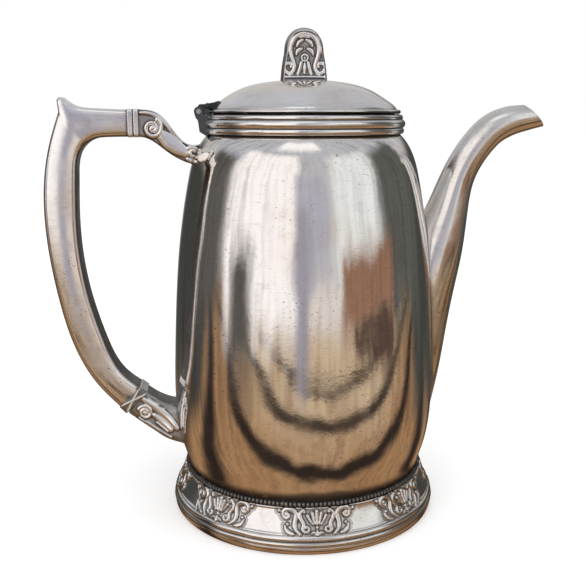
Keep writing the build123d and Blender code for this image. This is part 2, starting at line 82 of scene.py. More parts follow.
def arc(first, middle, last, count):
    """The circular arc through three points."""
    (ax, ay), (bx, by), (cx, cy) = first, middle, last
    d = 2 * (ax * (by - cy) + bx * (cy - ay) + cx * (ay - by))
    ux = ((ax**2 + ay**2) * (by - cy) + (bx**2 + by**2) * (cy - ay) + (cx**2 + cy**2) * (ay - by)) / d
    uy = ((ax**2 + ay**2) * (cx - bx) + (bx**2 + by**2) * (ax - cx) + (cx**2 + cy**2) * (bx - ax)) / d
    angles = [math.atan2(y - uy, x - ux) for x, y in (first, middle, last)]
    sweep = (angles[2] - angles[0]) % (2 * math.pi)
    if (angles[1] - angles[0]) % (2 * math.pi) > sweep:
        sweep -= 2 * math.pi
    radius = math.hypot(ax - ux, ay - uy)
    turn = angles[0] + np.linspace(0, sweep, count)
    return np.stack([ux + radius * np.cos(turn), uy + radius * np.sin(turn)], 1)


def path(*pieces):
    """Joins points and runs of points into one list."""
    return np.vstack([np.atleast_2d(np.array(piece, float)) for piece in pieces])


def smoothstep(low, high, x):
    t = np.clip((x - low) / (high - low), 0, 1)
    return t * t * (3 - 2 * t)


def stroke_height(x, y, strokes):
    """Height of the strokes over flat points. A stroke is a run of (x, y, half width, height)."""
    height = np.zeros(x.shape)
    for stroke in strokes:
        for sx, sy, half_width, top in stroke:
            near = np.clip(1 - ((x - sx) ** 2 + (y - sy) ** 2) / half_width**2, 0, 1)
            height = np.maximum(height, top * np.sqrt(near))
    return height


def stroke(points, widths, height, count=60):
    """A raised line along a smooth curve, with its half width running through the given values."""
    line = spline(points, count)
    half = np.interp(np.linspace(0, 1, count), np.linspace(0, 1, len(widths)), widths)
    return np.column_stack([line, half, np.full(count, height)])


def scroll(centre, radii, angles, widths, height, count=70):
    """A raised spiral about centre. Angles are degrees and the radius runs evenly between the two given."""
    turn = np.radians(np.linspace(angles[0], angles[1], count))
    radius = np.linspace(radii[0], radii[1], count)
    half = np.linspace(widths[0], widths[1], count)
    x = centre[0] + radius * np.cos(turn)
    y = centre[1] + radius * np.sin(turn)
    return np.column_stack([x, y, half, np.full(count, height)])


def ball(centre, radius, height):
    return np.array([[centre[0], centre[1], radius, height]])


def mirrored(strokes):
    """The strokes with their left-right mirror images."""
    return strokes + [s * np.array([-1, 1, 1, 1]) for s in strokes]


def spread(strokes, extra):
    """The strokes widened by extra, and all 1 mm high."""
    return [s * np.array([1, 1, 1, 0]) + np.array([0, 0, extra, 1]) for s in strokes]


def outlined(height, x, y, strokes, reach, ground):
    """Oxide of a relief: dark along the foot of each stroke and paler on the open ground."""
    halo = stroke_height(x, y, spread(strokes, reach))
    foot = smoothstep(0.0, 0.6, halo) * smoothstep(0.62, 0.15, height)
    return np.maximum(foot * 0.92, ground * (height < 0.05))


def ripple(points, size, seed):
    """Smooth noise from -1 to 1 at each point, with features about size mm across."""
    shift = Vector((seed * 7.3, seed * 3.1, seed * 5.7))
    return np.array([noise.fractal(Vector(p) / size + shift, 1.0, 2.0, 1) for p in points])


def radius_of(points):
    """Distance from the pot's axis."""
    return np.hypot(points[..., 0], points[..., 1])


# --- meshes
def grid_faces(rows, columns):
    """Quads over rings of points held row by row. The last column joins the first."""
    r = np.arange(rows - 1)[:, None]
    c = np.arange(columns)[None, :]
    here = r * columns + c
    right = r * columns + (c + 1) % columns
    return np.stack([here, right, right + columns, here + columns], -1).reshape(-1, 4)


def closed_faces(rows, columns):
    """The same, with the last ring joined to the first as well."""
    closing = grid_faces(2, columns)
    closing = np.where(closing >= columns, closing - columns, closing + (rows - 1) * columns)
    return np.vstack([grid_faces(rows, columns), closing])


def add_object(name, data):
    obj = bpy.data.objects.new(name, data)
    bpy.context.scene.collection.objects.link(obj)
    return obj


def smoothed(mesh, crease):
    mesh.shade_smooth()
    mesh.set_sharp_from_angle(angle=math.radians(crease))


def piece(name, points, faces, body, nodes, slot, material, oxide_and_shade, crease=35):
    """A smooth-shaded piece that rides on a body and stands for CAD nodes. Oxide is its darkening, 0 to 1:
    tarnish, and in a few places painted shade and painted shadow.
    """
    mesh = bpy.data.meshes.new(name)
    mesh.vertices.add(len(points))
    mesh.vertices.foreach_set("co", (np.asarray(points, np.float32) * MM).ravel())
    sizes = np.array([len(f) for f in faces], np.int32)
    corners = np.concatenate([np.asarray(f, np.int32) for f in faces])
    mesh.loops.add(len(corners))
    mesh.loops.foreach_set("vertex_index", corners)
    mesh.polygons.add(len(sizes))
    starts = np.concatenate([[0], np.cumsum(sizes)[:-1]])
    mesh.polygons.foreach_set("loop_start", starts.astype(np.int32))
    mesh.update(calc_edges=True)
    tone = np.clip(np.broadcast_to(oxide_and_shade, len(points)), 0, 1)
    mesh.attributes.new("oxide_and_shade", "FLOAT", "POINT").data.foreach_set("value", tone.astype(np.float32))
    tidy(mesh)
    smoothed(mesh, crease)
    mesh.materials.append(material)
    obj = add_object(name, mesh)
    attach(obj, body)
    if nodes:
        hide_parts(*nodes)
    return obj


def tidy(mesh):
    """Merges points that coincide, drops faces with no area and turns the faces outward."""
    bm = bmesh.new()
    bm.from_mesh(mesh)
    bmesh.ops.remove_doubles(bm, verts=bm.verts, dist=0.002 * MM)
    bmesh.ops.dissolve_degenerate(bm, edges=bm.edges, dist=0.001 * MM)
    bmesh.ops.recalc_face_normals(bm, faces=bm.faces)
    bm.to_mesh(mesh)
    bm.free()


def turned(r, z, turn):
    """Rows of radius and height carried round the pot's axis."""
    return np.stack([r * np.cos(turn), r * np.sin(turn), z], -1).reshape(-1, 3)


def lathe(profile, segments):
    """Points and faces of a closed profile of (radius, z) turned about the pot's axis."""
    turn = np.linspace(0, 2 * math.pi, segments, endpoint=False)
    z = np.repeat(profile[:, 1][:, None], segments, 1)
    return turned(profile[:, 0][:, None], z, turn), closed_faces(len(profile), segments)


def upright(flat, y):
    """A run of (x, z) points stood up at depth y."""
    return np.column_stack([flat[:, 0], np.full(len(flat), y), flat[:, 1]])


# --- materials
class Nodes:
    """Short calls that add shader nodes to one tree and return an output. Values are numbers or outputs."""

    def __init__(self, tree):
        self.tree = tree

    def add(self, kind, output, values, **settings):
        node = self.tree.nodes.new("ShaderNode" + kind)
        for key, value in settings.items():
            setattr(node, key, value)
        for key, value in values.items():
            self.put(node.inputs[key], value)
        return node.outputs[output]

    def put(self, socket, value):
        if isinstance(value, bpy.types.NodeSocket):
            self.tree.links.new(value, socket)
        else:
            socket.default_value = value

    def math(self, operation, a, b=0.0):
        return self.add("Math", "Value", {0: a, 1: b}, operation=operation)

    def noise(self, place, scale, detail, roughness=0.5):
        values = {"Vector": place, "Scale": scale, "Detail": detail, "Roughness": roughness}
        return self.add("TexNoise", "Fac", values)

    def fade(self, value, low, high, bottom=0.0, top=1.0):
        """Goes smoothly from bottom to top while the value goes from low to high."""
        values = {"Value": value, "From Min": low, "From Max": high, "To Min": bottom, "To Max": top}
        return self.add("MapRange", "Result", values, interpolation_type="SMOOTHSTEP")

    def paint(self, factor, under, over):
        """Lays one colour over another. A colour is (red, green, blue) or an output."""
        under, over = ((*c, 1) if isinstance(c, tuple) else c for c in (under, over))
        return self.add("Mix", "Result", {"Factor": factor, "A": under, "B": over}, data_type="RGBA")


# Near-black and its depth, for tarnish in hollows and for a few painted shades and shadows.
DARKEST_OXIDE_AND_SHADE = 0.95
OXIDE_AND_SHADE_COLOUR = (0.012, 0.011, 0.010)
SCRATCH_COLOUR = (0.36, 0.33, 0.30)
SPECK_COLOUR = (0.07, 0.055, 0.045)
TARNISH_AND_GROUND_REFLECTION_BROWN = (0.42, 0.26, 0.15)
WARM_CLOUD = (0.80, 0.66, 0.52)  # share of the metal's own colour left in its tarnish
DEEP_CLOUD = (0.62, 0.55, 0.48)


def silver(name, tint, rough, tarnish, pits, brown=None):
    """Worn silver plate in real-scale pattern, with an amount of warm tarnish and of pits.

    Brown is an optional (low, high) range of heights over which the metal loses a brown cast, going up:
    partly warm tarnish and partly a painted reflection of the warm ground."""
    material = bpy.data.materials.new(name)
    material.use_nodes = True
    make = Nodes(material.node_tree)
    shader = material.node_tree.nodes["Principled BSDF"].inputs
    shader["Metallic"].default_value = 1.0
    place = make.add("TexCoord", "Object", {})

    def cloud(size, detail=3.0, stretch=(1, 1, 1)):
        scaled = make.add(
            "Mapping", "Vector", {"Vector": place, "Scale": [1 / MM / size * s for s in stretch]}
        )
        return make.noise(scaled, 1.0, detail, 0.6)

    warm = tuple(t * left for t, left in zip(tint, WARM_CLOUD))
    deep = tuple(t * left for t, left in zip(tint, DEEP_CLOUD))
    colour = make.paint(make.fade(cloud(38), 0.42, 0.72, 0, tarnish), tint, warm)
    colour = make.paint(make.fade(cloud(9, 4), 0.56, 0.72, 0, tarnish * 0.7), colour, deep)
    scratches = make.fade(cloud(0.8, 1.0, (0.16, 0.16, 1.6)), 0.62, 0.72, 0, 0.22 * pits)
    colour = make.paint(scratches, colour, SCRATCH_COLOUR)
    specks = make.fade(cloud(1.1, 1.0), 0.67, 0.72, 0, 0.55 * pits)
    specks = make.math("MULTIPLY", specks, make.fade(cloud(24), 0.45, 0.62))
    colour = make.paint(specks, colour, SPECK_COLOUR)
    # Brown cast low down, fading out going up: partly warm tarnish and partly a painted reflection of the
    # warm ground.
    if brown:
        height = make.add("SeparateXYZ", "Z", {"Vector": place})
        low = make.fade(height, brown[0] * MM, brown[1] * MM, 0.38, 0.0)
        cast = make.math("MULTIPLY", low, make.fade(cloud(16, 4), 0.35, 0.60))
        colour = make.paint(cast, colour, TARNISH_AND_GROUND_REFLECTION_BROWN)
    # Darkens toward near-black by the oxide attribute: tarnish in hollows and joints, and painted shade in a
    # few places.
    tone = make.add("Attribute", "Fac", {}, attribute_name="oxide_and_shade")
    dark = make.math("MULTIPLY", tone, make.fade(cloud(3.0), 0.25, 0.45, DARKEST_OXIDE_AND_SHADE * 0.75, DARKEST_OXIDE_AND_SHADE))
    make.put(shader["Base Color"], make.paint(dark, colour, OXIDE_AND_SHADE_COLOUR))
    gloss = make.fade(cloud(14, 4), 0.35, 0.75, rough * 0.6, rough * 1.7)
    gloss = make.math("ADD", gloss, make.math("MULTIPLY", specks, 0.25))
    make.put(shader["Roughness"], make.math("ADD", gloss, make.math("MULTIPLY", dark, 0.35)))
    wear = make.math("ADD", make.fade(cloud(2.2, 3), 0.3, 0.7), make.math("MULTIPLY", specks, -1.5))
    bump = {"Height": wear, "Strength": 0.22, "Distance": 0.02 * MM}
    make.put(shader["Normal"], make.add("Bump", "Normal", bump))
    return material


POLISHED = silver("silver_body", (0.88, 0.86, 0.84), 0.07, 0.35, 1.0)
# The brown ranges paint a reflection of the warm ground, with some tarnish, low on the foot and the handle.
FOOT_SILVER = silver("silver_foot", (0.88, 0.86, 0.84), 0.13, 0.40, 1.0, brown=(0, 9))
HANDLE_SILVER = silver("silver_handle", (0.94, 0.93, 0.925), 0.18, 0.36, 0.9, brown=(35, 110))
SPOUT_SILVER = silver("silver_spout", (0.84, 0.82, 0.79), 0.22, 0.45, 0.8)
LID_SILVER = silver("silver_lid", (0.90, 0.89, 0.88), 0.15, 0.30, 0.5)
RELIEF_SILVER = silver("silver_relief", (0.98, 0.975, 0.965), 0.21, 0.12, 0.5)
TARNISHED = silver("silver_tarnished", (0.12, 0.135, 0.14), 0.16, 0.5, 1.0)
NICKEL = silver("nickel_silver", (0.60, 0.58, 0.52), 0.24, 0.5, 0.6)
INSIDE = silver("silver_inside", (0.66, 0.62, 0.55), 0.30, 0.9, 1.0)


# --- body
def box_mm(node):
    low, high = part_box(node)
    return np.array(low) / MM, np.array(high) / MM


BODY_SIDE = [
    (53.9, 21.2), (56.2, 30), (58.9, 46), (58.8, 75), (56, 119), (51.2, 150), (46.8, 164), (42, 170.2)
]
BODY_WALL = 1.2
BODY_SEGMENTS = 360
BODY_LOW, BODY_HIGH = box_mm("body_front_half")
FOOT_Z, NECK_Z = BODY_LOW[2], BODY_HIGH[2]
SIDE = spline(BODY_SIDE, 260, (0.1, 1.0), (-0.8, 0.7))
NECK_RADIUS = SIDE[-1, 0]
STRAINER_COLUMNS = 3
STRAINER_ROWS = 5
STRAINER_RADIUS = 1.75
STRAINER_PITCH = 6.5
STRAINER_Z = 98.0
STRAINER_REACH = (50.0, 65.0)
STRAINER_SIDES = 20
DENTS = [  # azimuth in degrees, height, radius and depth of a shallow dent
    (-62, 92, 9, 0.16),
    (-97, 118, 7, 0.10),
    (-118, 66, 11, 0.18),
    (35, 70, 10, 0.15),
    (110, 104, 12, 0.20),
    (160, 60, 9, 0.14),
    (-150, 130, 8, 0.10),
]


def body_radius(z):
    return np.interp(z, SIDE[:, 1], SIDE[:, 0])


def wavy(points):
    """A spun and long-used sheet: slow waves and a few shallow dents, all inward or outward by a hair."""
    r = radius_of(points)
    fade = smoothstep(
        FOOT_Z + 4, FOOT_Z + 20, points[:, 2]
    ) * smoothstep(NECK_Z - 8, NECK_Z - 22, points[:, 2])
    shift = 0.05 * ripple(points, 34, 1) + 0.012 * ripple(points, 9, 2)
    azimuth = np.degrees(np.arctan2(points[:, 1], points[:, 0]))
    for at, z, radius, depth in DENTS:
        along = np.radians((azimuth - at + 180) % 360 - 180) * r
        shift = shift - depth * np.exp(-(along**2 + (points[:, 2] - z) ** 2) / radius**2)
    scale = 1 + fade * shift / r
    return points * np.stack([scale, scale, np.ones_like(scale)], -1)


def strainer_centres():
    """Centres of the strainer's holes as (y, z), in staggered columns."""
    column_pitch = STRAINER_PITCH * math.sin(math.radians(60))
    for column in range(STRAINER_COLUMNS):
        for row in range(STRAINER_ROWS):
            stagger = (column % 2) / 2 - 0.25
            y = (column - (STRAINER_COLUMNS - 1) / 2) * column_pitch
            yield y, STRAINER_Z + (row - (STRAINER_ROWS - 1) / 2 + stagger) * STRAINER_PITCH


def pierce(obj):
    """Cuts the strainer's holes through the wall behind the spout."""
    turn = np.linspace(0, 2 * math.pi, STRAINER_SIDES, endpoint=False)
    points, faces = [], []
    for y, z in strainer_centres():
        ring = np.column_stack([y + STRAINER_RADIUS * np.cos(turn), z + STRAINER_RADIUS * np.sin(turn)])
        plug = [np.column_stack([np.full(STRAINER_SIDES, x), ring]) for x in STRAINER_REACH]
        plug_points, plug_faces = capped(np.array(plug))
        faces += [tuple(int(k) + len(points) for k in face) for face in plug_faces]
        points += [tuple(p) for p in plug_points * MM]
    mesh = bpy.data.meshes.new("cutter")
    mesh.from_pydata(points, [], faces)
    cutter = add_object("cutter", mesh)
    modifier = obj.modifiers.new("holes", "BOOLEAN")
    modifier.object = cutter
    modifier.solver = "EXACT"
    bpy.context.view_layer.update()
    cut = bpy.data.meshes.new_from_object(obj.evaluated_get(bpy.context.evaluated_depsgraph_get()))
    obj.modifiers.clear()
    obj.data = cut
    smoothed(cut, 35)
    bpy.data.objects.remove(cutter)


def make_body():
    lip = NECK_Z + 0.2
    rim = arc(
        (NECK_RADIUS, lip - 0.5), (NECK_RADIUS - BODY_WALL / 2, lip),
        (NECK_RADIUS - BODY_WALL, lip - 0.5), 7,
    )
    foot = np.column_stack([np.full(6, SIDE[0, 0]), np.linspace(FOOT_Z, SIDE[0, 1] - 0.8, 6)])
    neck = np.column_stack([np.full(6, NECK_RADIUS), np.linspace(SIDE[-1, 1] + 1, NECK_Z - 1.5, 6)])
    inner = SIDE[::-3] - np.array([BODY_WALL, 0])
    inner_foot = (SIDE[0, 0] - BODY_WALL, FOOT_Z)
    profile = path(foot, SIDE, neck, rim, (NECK_RADIUS - BODY_WALL, NECK_Z - 3), inner, inner_foot)
    points, faces = lathe(profile, BODY_SEGMENTS)
    points = wavy(points)
    z = points[:, 2]
    # Painted shade in the crevice just above the foot, and a painted shadow in a ring just under the collar.
    oxide_and_shade = np.maximum(smoothstep(26.5, 22.0, z) * 0.95, smoothstep(168.6, 170.4, z) * 0.85)
    outside = radius_of(points) > body_radius(z) - 0.6
    oxide_and_shade = np.where(outside, oxide_and_shade, 0.12)
    nodes = ["body_front_half", "body_rear_half"]
    pierce(piece("body", points, faces, "pot", nodes, "silver_plate", POLISHED, oxide_and_shade))


# --- foot
ORNAMENTS = 8
FOOT_COLUMNS = 184  # per ornament
FOOT_ROWS = 46
FOOT_HIGH = box_mm("foot_ring")[1]
FOOT_BORE = SIDE[0, 0] + 0.05
RIM_TOP = 8.4
BAND_TOP = (SIDE[0, 0] + 0.95, FOOT_HIGH[2])
BAND_MIDDLE = (56.5, 13.4)
BAND_BOTTOM = (FOOT_HIGH[0], RIM_TOP)
FOOT_RELIEF = 0.8  # how far a stroke of height 1 stands out
FRAME_LINES = [(11.0, 0.35), (0.35, 0.3)]  # how far up the band, and height
FRAME_LINE_WIDTH = 0.35


def ornament_strokes():
    """One foot ornament in mm from its centre line and up the band: scrolls, a fan and small berries."""
    stem = stroke(
        [(7.1, 0.5), (9.3, 3.4), (8.9, 6.6), (8.7, 8.8), (9.8, 10.3), (11.9, 10.9), (13.8, 9.9), (14.1, 8.2)],
        [0.7, 1.15, 1.2, 1.1, 0.9], 1.15, 110,
    )
    curl = scroll((12.5, 8.3), (1.6, 0.5), (0, -300), (0.85, 0.7), 1.05)
    eye = ball((12.4, 8.3), 0.85, 1.15)
    side_berry = ball((15.7, 9.9), 0.85, 0.9)
    low_leaf = stroke([(10.2, 0.7), (11.6, 1.2), (12.9, 2.3), (13.4, 3.9)], [0.8, 1.1, 0.5], 0.85)
    low_berry = ball((12.3, 4.6), 0.8, 0.85)
    inner = stroke(
        [(5.4, 10.6), (6.9, 9.0), (6.6, 6.6), (5.6, 4.6), (6.1, 3.0)], [0.6, 1.0, 1.05, 0.9], 1.05, 80
    )
    inner_curl = scroll((4.5, 2.9), (1.7, 0.5), (0, -330), (0.8, 0.6), 1.0)
    knob = ball((5.2, 9.6), 0.8, 1.0)
    rib_near = stroke([(0.9, 4.8), (1.5, 7.0), (1.9, 9.2)], [0.45, 0.7, 0.8], 1.05)
    rib_far = stroke([(1.7, 4.6), (3.0, 6.4), (3.9, 8.2)], [0.45, 0.65, 0.75], 0.95)
    base_leaf = stroke([(0.5, 0.5), (1.6, 1.3), (2.6, 0.8)], [0.6, 0.8, 0.4], 0.85)
    mid = [
        stroke([(0, 4.6), (0, 7.2), (0, 10.0)], [0.55, 0.8, 0.9], 1.2),
        ball((0, 3.3), 0.85, 1.05),
        stroke([(0, 0.4), (0, 2.0)], [0.9, 0.5], 0.95, 20),
    ]
    outer = [stem, curl, eye, side_berry, low_leaf, low_berry]
    return mirrored(outer + [inner, inner_curl, knob, rib_near, rib_far, base_leaf]) + mid


def foot_band():
    """One ornament's share of the band, as its curve and, at each point of it, relief height and oxide."""
    band = arc(BAND_TOP, BAND_MIDDLE, BAND_BOTTOM, FOOT_ROWS)
    steps = np.concatenate([[0], np.cumsum(np.linalg.norm(np.diff(band, axis=0), axis=1))])
    local = (np.arange(FOOT_COLUMNS) / FOOT_COLUMNS - 0.5) * 2 * math.pi / ORNAMENTS
    across = local[None, :] * band[:, 0][:, None]
    upward = np.repeat((steps[-1] - steps)[:, None], FOOT_COLUMNS, 1)
    strokes = ornament_strokes()
    raised = stroke_height(across, upward, strokes)
    ground = smoothstep(0.0, 0.5, stroke_height(across, upward, spread(strokes, 1.1)))
    lines = sum(np.exp(-(((upward - at) / FRAME_LINE_WIDTH) ** 2)) * top for at, top in FRAME_LINES)
    height = np.maximum(raised, lines) - 0.35 * ground * (raised < 0.05)
    return band, height, ground * outlined(raised, across, upward, strokes, 0.50, 0.30) * 0.86


def make_foot_ring():
    band, height, oxide_and_shade = foot_band()
    height = np.tile(height, (1, ORNAMENTS)) * FOOT_RELIEF
    oxide_and_shade = np.tile(oxide_and_shade, (1, ORNAMENTS))
    columns = FOOT_COLUMNS * ORNAMENTS
    turn = np.arange(columns) / columns * 2 * math.pi - math.pi / 2 - math.pi / ORNAMENTS
    slope = np.gradient(band, axis=0)
    normal = np.stack([-slope[:, 1], slope[:, 0]], 1)
    normal /= np.linalg.norm(normal, axis=1)[:, None]
    skirt, lining = FOOT_HIGH[0] - 0.95, FOOT_HIGH[0] - 2.1
    rest = path(
        (skirt, RIM_TOP), (skirt, 0.02), (lining, 0.02), (lining, 7), (FOOT_BORE, 13.5),
        (FOOT_BORE, FOOT_HIGH[2]),
    )

    def rows(k):
        return np.vstack([band[:, [k]] + normal[:, [k]] * height, np.repeat(rest[:, [k]], columns, 1)])

    points = turned(rows(0), rows(1), turn)
    swell = 0.10 * ripple(points, 11, 21) + 0.02 * ripple(points, 4, 22)
    points[:, :2] *= 1 + (swell / radius_of(points))[:, None]
    tone = np.vstack([oxide_and_shade, np.full((len(rest), columns), 0.3)]).ravel()
    faces = closed_faces(FOOT_ROWS + len(rest), columns)
    slot = "oxidised_silver_relief"
    piece("foot_ring_relief", points, faces, "pot", ["foot_ring"], slot, FOOT_SILVER, tone, crease=60)


def make_foot_rim():
    base = FOOT_HIGH[0]
    inner = base - 0.9
    grooves = [(base + 0.7, 5.8), (base + 1.0, 3.6)]
    beads = [
        [(base - 0.2, RIM_TOP), (base + 1.1, 7.2), grooves[0]],
        [grooves[0], (base + 1.6, 4.7), grooves[1]],
        [grooves[1], (base + 1.1, 1.7), (base, 0)],
    ]
    profile = path(*[arc(*bead, 12) for bead in beads], (inner, 0), (inner, RIM_TOP))
    points, faces = lathe(profile, 360)
    z = points[:, 2]
    groove = np.minimum(*[np.abs(z - at) for _, at in grooves])
    oxide_and_shade = smoothstep(0.55, 0.0, groove) * 0.8 + smoothstep(8.0, RIM_TOP, z) * 0.2
    piece("foot_rim", points, faces, "pot", ["foot_rim_wire"], "silver_plate", FOOT_SILVER, oxide_and_shade)


BEADS = 190
BEAD_POINTS = 9


def make_bead_wire():
    low, high = box_mm("foot_bead_wire")
    columns = BEADS * BEAD_POINTS
    turn = np.linspace(0, 2 * math.pi, columns, endpoint=False)
    within = (np.arange(columns) % BEAD_POINTS) / (BEAD_POINTS / 2) - 1
    bulge = 0.25 + 0.75 * np.sqrt(np.clip(1 - within**2, 0, 1))
    v = np.linspace(-1, 1, 11)[:, None]
    middle, half = (low[2] + high[2]) / 2, (high[2] - low[2]) / 2
    r = FOOT_BORE + 0.15 + 0.95 * bulge[None, :] * np.sqrt(1 - v**2)
    z = middle + half * v * (0.6 + 0.4 * bulge[None, :])
    r = np.vstack([r, np.full((1, columns), FOOT_BORE)])
    z = np.vstack([z, np.full((1, columns), middle)])
    points, faces = turned(r, z, turn), closed_faces(len(r), columns)
    oxide_and_shade = smoothstep(FOOT_BORE + 1.12, FOOT_BORE + 0.75, r).ravel() * 0.3 + 0.68
    slot = "oxidised_silver_relief"
    piece("foot_beads", points, faces, "pot", ["foot_bead_wire"], slot, RELIEF_SILVER, oxide_and_shade, crease=70)


def make_bottom_plate():
    low, high = box_mm("bottom_plate")
    radius = high[0]
    top = arc((0, high[2]), (radius / 2, high[2] - 0.75), (radius, high[2] - 3), 30)
    under = top[::-1] - np.array([0, BODY_WALL])
    under[0, 0] = radius - BODY_WALL
    profile = path(top, (radius, low[2]), (radius - BODY_WALL, low[2]), under)
    points, faces = lathe(profile, 180)
    points[:, 2] += 0.12 * ripple(points, 26, 5)
    piece("bottom_disc", points, faces, "pot", ["bottom_plate"], "silver_plate", INSIDE, 0.15)


# --- collar
def make_collar():
    low, high = box_mm("neck_collar")
    bottom, top = low[2], high[2] + 0.35
    bore = NECK_RADIUS + 0.02
    grooves = [(43.3, bottom + 2.6), (43.1, bottom + 6.1)]
    reeds = [
        [(42.9, bottom), (43.9, bottom + 1.3), grooves[0]],
        [grooves[0], (44.4, bottom + 4.3), grooves[1]],
        [grooves[1], (43.3, bottom + 6.9), (42.5, top)],
    ]
    points, faces = lathe(path(*[arc(*reed, 14) for reed in reeds], (bore, top), (bore, bottom)), 360)
    z = points[:, 2]
    groove = np.minimum(*[np.abs(z - at) for _, at in grooves])
    # Tarnish in the grooves; the dark bottom edge is a painted shadow line where the collar meets the body.
    oxide_and_shade = smoothstep(0.45, 0.0, groove) + smoothstep(bottom + 0.35, bottom, z) * 0.8
    oxide_and_shade += smoothstep(top - 0.45, top - 0.2, z)
    piece("collar", points, faces, "pot", ["neck_collar"], "silver_plate", LID_SILVER, oxide_and_shade)


# --- pieces soldered to the body
SOLDER_GAP = 0.03


def seat_on_body(points, fillet):
    """Flares points near the body out into a solder fillet, and says which lie wholly inside the wall."""
    r = radius_of(points)
    wall = body_radius(points[..., 2]) + SOLDER_GAP
    near = np.clip(fillet - np.abs(r - wall), 0, None) / fillet
    new_r = np.maximum(r, wall) + near**2 * fillet / 4
    scale = new_r / np.maximum(r, 0.001)
    seated = points.copy()
    seated[..., :2] *= scale[..., None]
    return seated, r < wall - fillet


def joint_tarnish(points, amount):
    """Oxide where a piece meets the body's wall."""
    return smoothstep(1.2, 0.1, radius_of(points) - body_radius(points[:, 2])) * amount


def keep_faces(faces, buried):
    return faces[~buried[faces].all(axis=1)]


def compact(points, faces, oxide_and_shade):
    """Leaves out the points that no face uses."""
    used = np.unique(np.concatenate([np.asarray(f) for f in faces]))
    lookup = np.full(len(points), -1)
    lookup[used] = np.arange(len(used))
    return points[used], [lookup[np.asarray(f)] for f in faces], oxide_and_shade[used]


# --- spout
SPOUT_STATIONS = [  # centre x, centre z, half height, half width, heading in degrees
    (46.5, 40, 13, 11, 82),
    (50, 62, 14, 13, 84),
    (52.5, 82, 14.4, 14, 81),
    (56, 102, 14.2, 13.8, 79),
    (61.3, 121, 12.4, 12.4, 75),
    (65.4, 134.5, 9.7, 10.4, 75),
    (68.7, 146.5, 7.9, 8.8, 72),
    (74.2, 159, 7.2, 7.8, 60),
    (81.4, 168.6, 7.1, 7.4, 46),
    (90, 174.5, 6.8, 7, 22),
    (98, 176.6, 6, 6.4, 8),
    (109, 178, 4.6, 5.4, 6),
]
SPOUT_WALL = 1.1
LIP_TOP = np.array([99.6, 182.0])
LIP_POINT = np.array([107.5, 174.0])
SPOUT_RINGS = 190
SPOUT_POINTS = 112


def spout_surface(inset):
    """Rings of the spout, drawn in by inset. Each line along it stops at the lip's plane."""
    fine = spline(SPOUT_STATIONS, 900)
    phi = np.linspace(0, 2 * math.pi, SPOUT_POINTS, endpoint=False)
    heading = np.radians(fine[:, 4])[:, None]
    up = (fine[:, 2] - inset)[:, None] * np.sin(phi)
    x = fine[:, 0][:, None] - np.sin(heading) * up
    z = fine[:, 1][:, None] + np.cos(heading) * up
    y = (fine[:, 3] - inset)[:, None] * np.cos(phi)
    edge = LIP_TOP - LIP_POINT
    outward = np.array([edge[1], -edge[0]]) / np.linalg.norm(edge)
    beyond = (x - LIP_POINT[0]) * outward[0] + (z - LIP_POINT[1]) * outward[1]
    rings = np.empty((SPOUT_RINGS, SPOUT_POINTS, 3))
    index = np.arange(len(fine))
    for k in range(SPOUT_POINTS):
        crossed = np.argmax(beyond[:, k] > 0)
        before, after = beyond[crossed - 1, k], beyond[crossed, k]
        at = np.linspace(0, 1, SPOUT_RINGS) * (crossed - 1 + before / (before - after))
        rings[:, k] = np.column_stack([np.interp(at, index, line[:, k]) for line in (x, y, z)])
    return rings


def make_spout():
    outer, buried_outer = seat_on_body(spout_surface(0.0), 1.6)
    inner, buried_inner = seat_on_body(spout_surface(SPOUT_WALL), 0.05)
    lip = (outer[-1:] + inner[-1:]) / 2 + np.array([0.35, 0, 0])
    grid = np.vstack([outer, lip, inner[::-1]])
    buried = np.vstack([buried_outer, np.zeros((1, SPOUT_POINTS), bool), buried_inner[::-1]]).ravel()
    points = grid.reshape(-1, 3)
    faces = keep_faces(grid_faces(len(grid), SPOUT_POINTS), buried)
    oxide_and_shade = joint_tarnish(points, 0.35)
    oxide_and_shade[SPOUT_RINGS * SPOUT_POINTS :] = 0.35
    points, faces, oxide_and_shade = compact(points, faces, oxide_and_shade)
    nodes = ["spout_front_half", "spout_rear_half"]
    piece("spout", points, faces, "pot", nodes, "silver_plate", SPOUT_SILVER, oxide_and_shade, crease=50)


# --- handle
HANDLE_HALF_DEPTH = box_mm("grip_front_half")[0][1] * -1
GRIP_TOP_EDGE = [(-76.1, 180.5), (-92, 181.2), (-98.2, 182.2), (-103.4, 185.6)]
HORN_TIP = (-104.5, 185.4)
HORN_FOOT = (-105.1, 184)
GRIP_OUTER_EDGE = [
    (-104.7, 179.5), (-109, 167), (-112.4, 150), (-112.8, 128),
    (-109, 99), (-101.5, 72.5), (-93, 57.8), (-84.6, 48.4),
]
GRIP_INNER_EDGE = [
    (-76.1, 169.1), (-84.5, 169), (-90.8, 168), (-96.2, 163.4), (-98.6, 152),
    (-99.2, 130), (-96.2, 102), (-90.3, 80.5), (-81.5, 63), (-75, 57.6),
]
GRIP_PAIRS = [  # ring number, and the points of the outer and inner edges that it joins
    (0, (-76.1, 180.5), (-76.1, 169.1)),
    (30, (-92, 181.2), (-87.5, 168.7)),
    (44, (-98.2, 182.2), (-91.5, 167.5)),
    (58, HORN_TIP, (-94.6, 165.5)),
    (72, (-104.7, 179.5), (-96.3, 163.0)),
    (92, (-109, 167), (-97.8, 156.5)),
    (140, (-112.8, 128), (-99.2, 130)),
    (180, (-109, 99), (-96.0, 101.4)),
    (260, (-84.6, 48.4), (-75, 57.6)),
]
EDGE_ROUND = 2.3
LOWER_BAND_PLACE = (-80, 53)
GRIP_CROWN = 0.09  # how much the grip's sides fall off toward its edges, as a share of its half depth


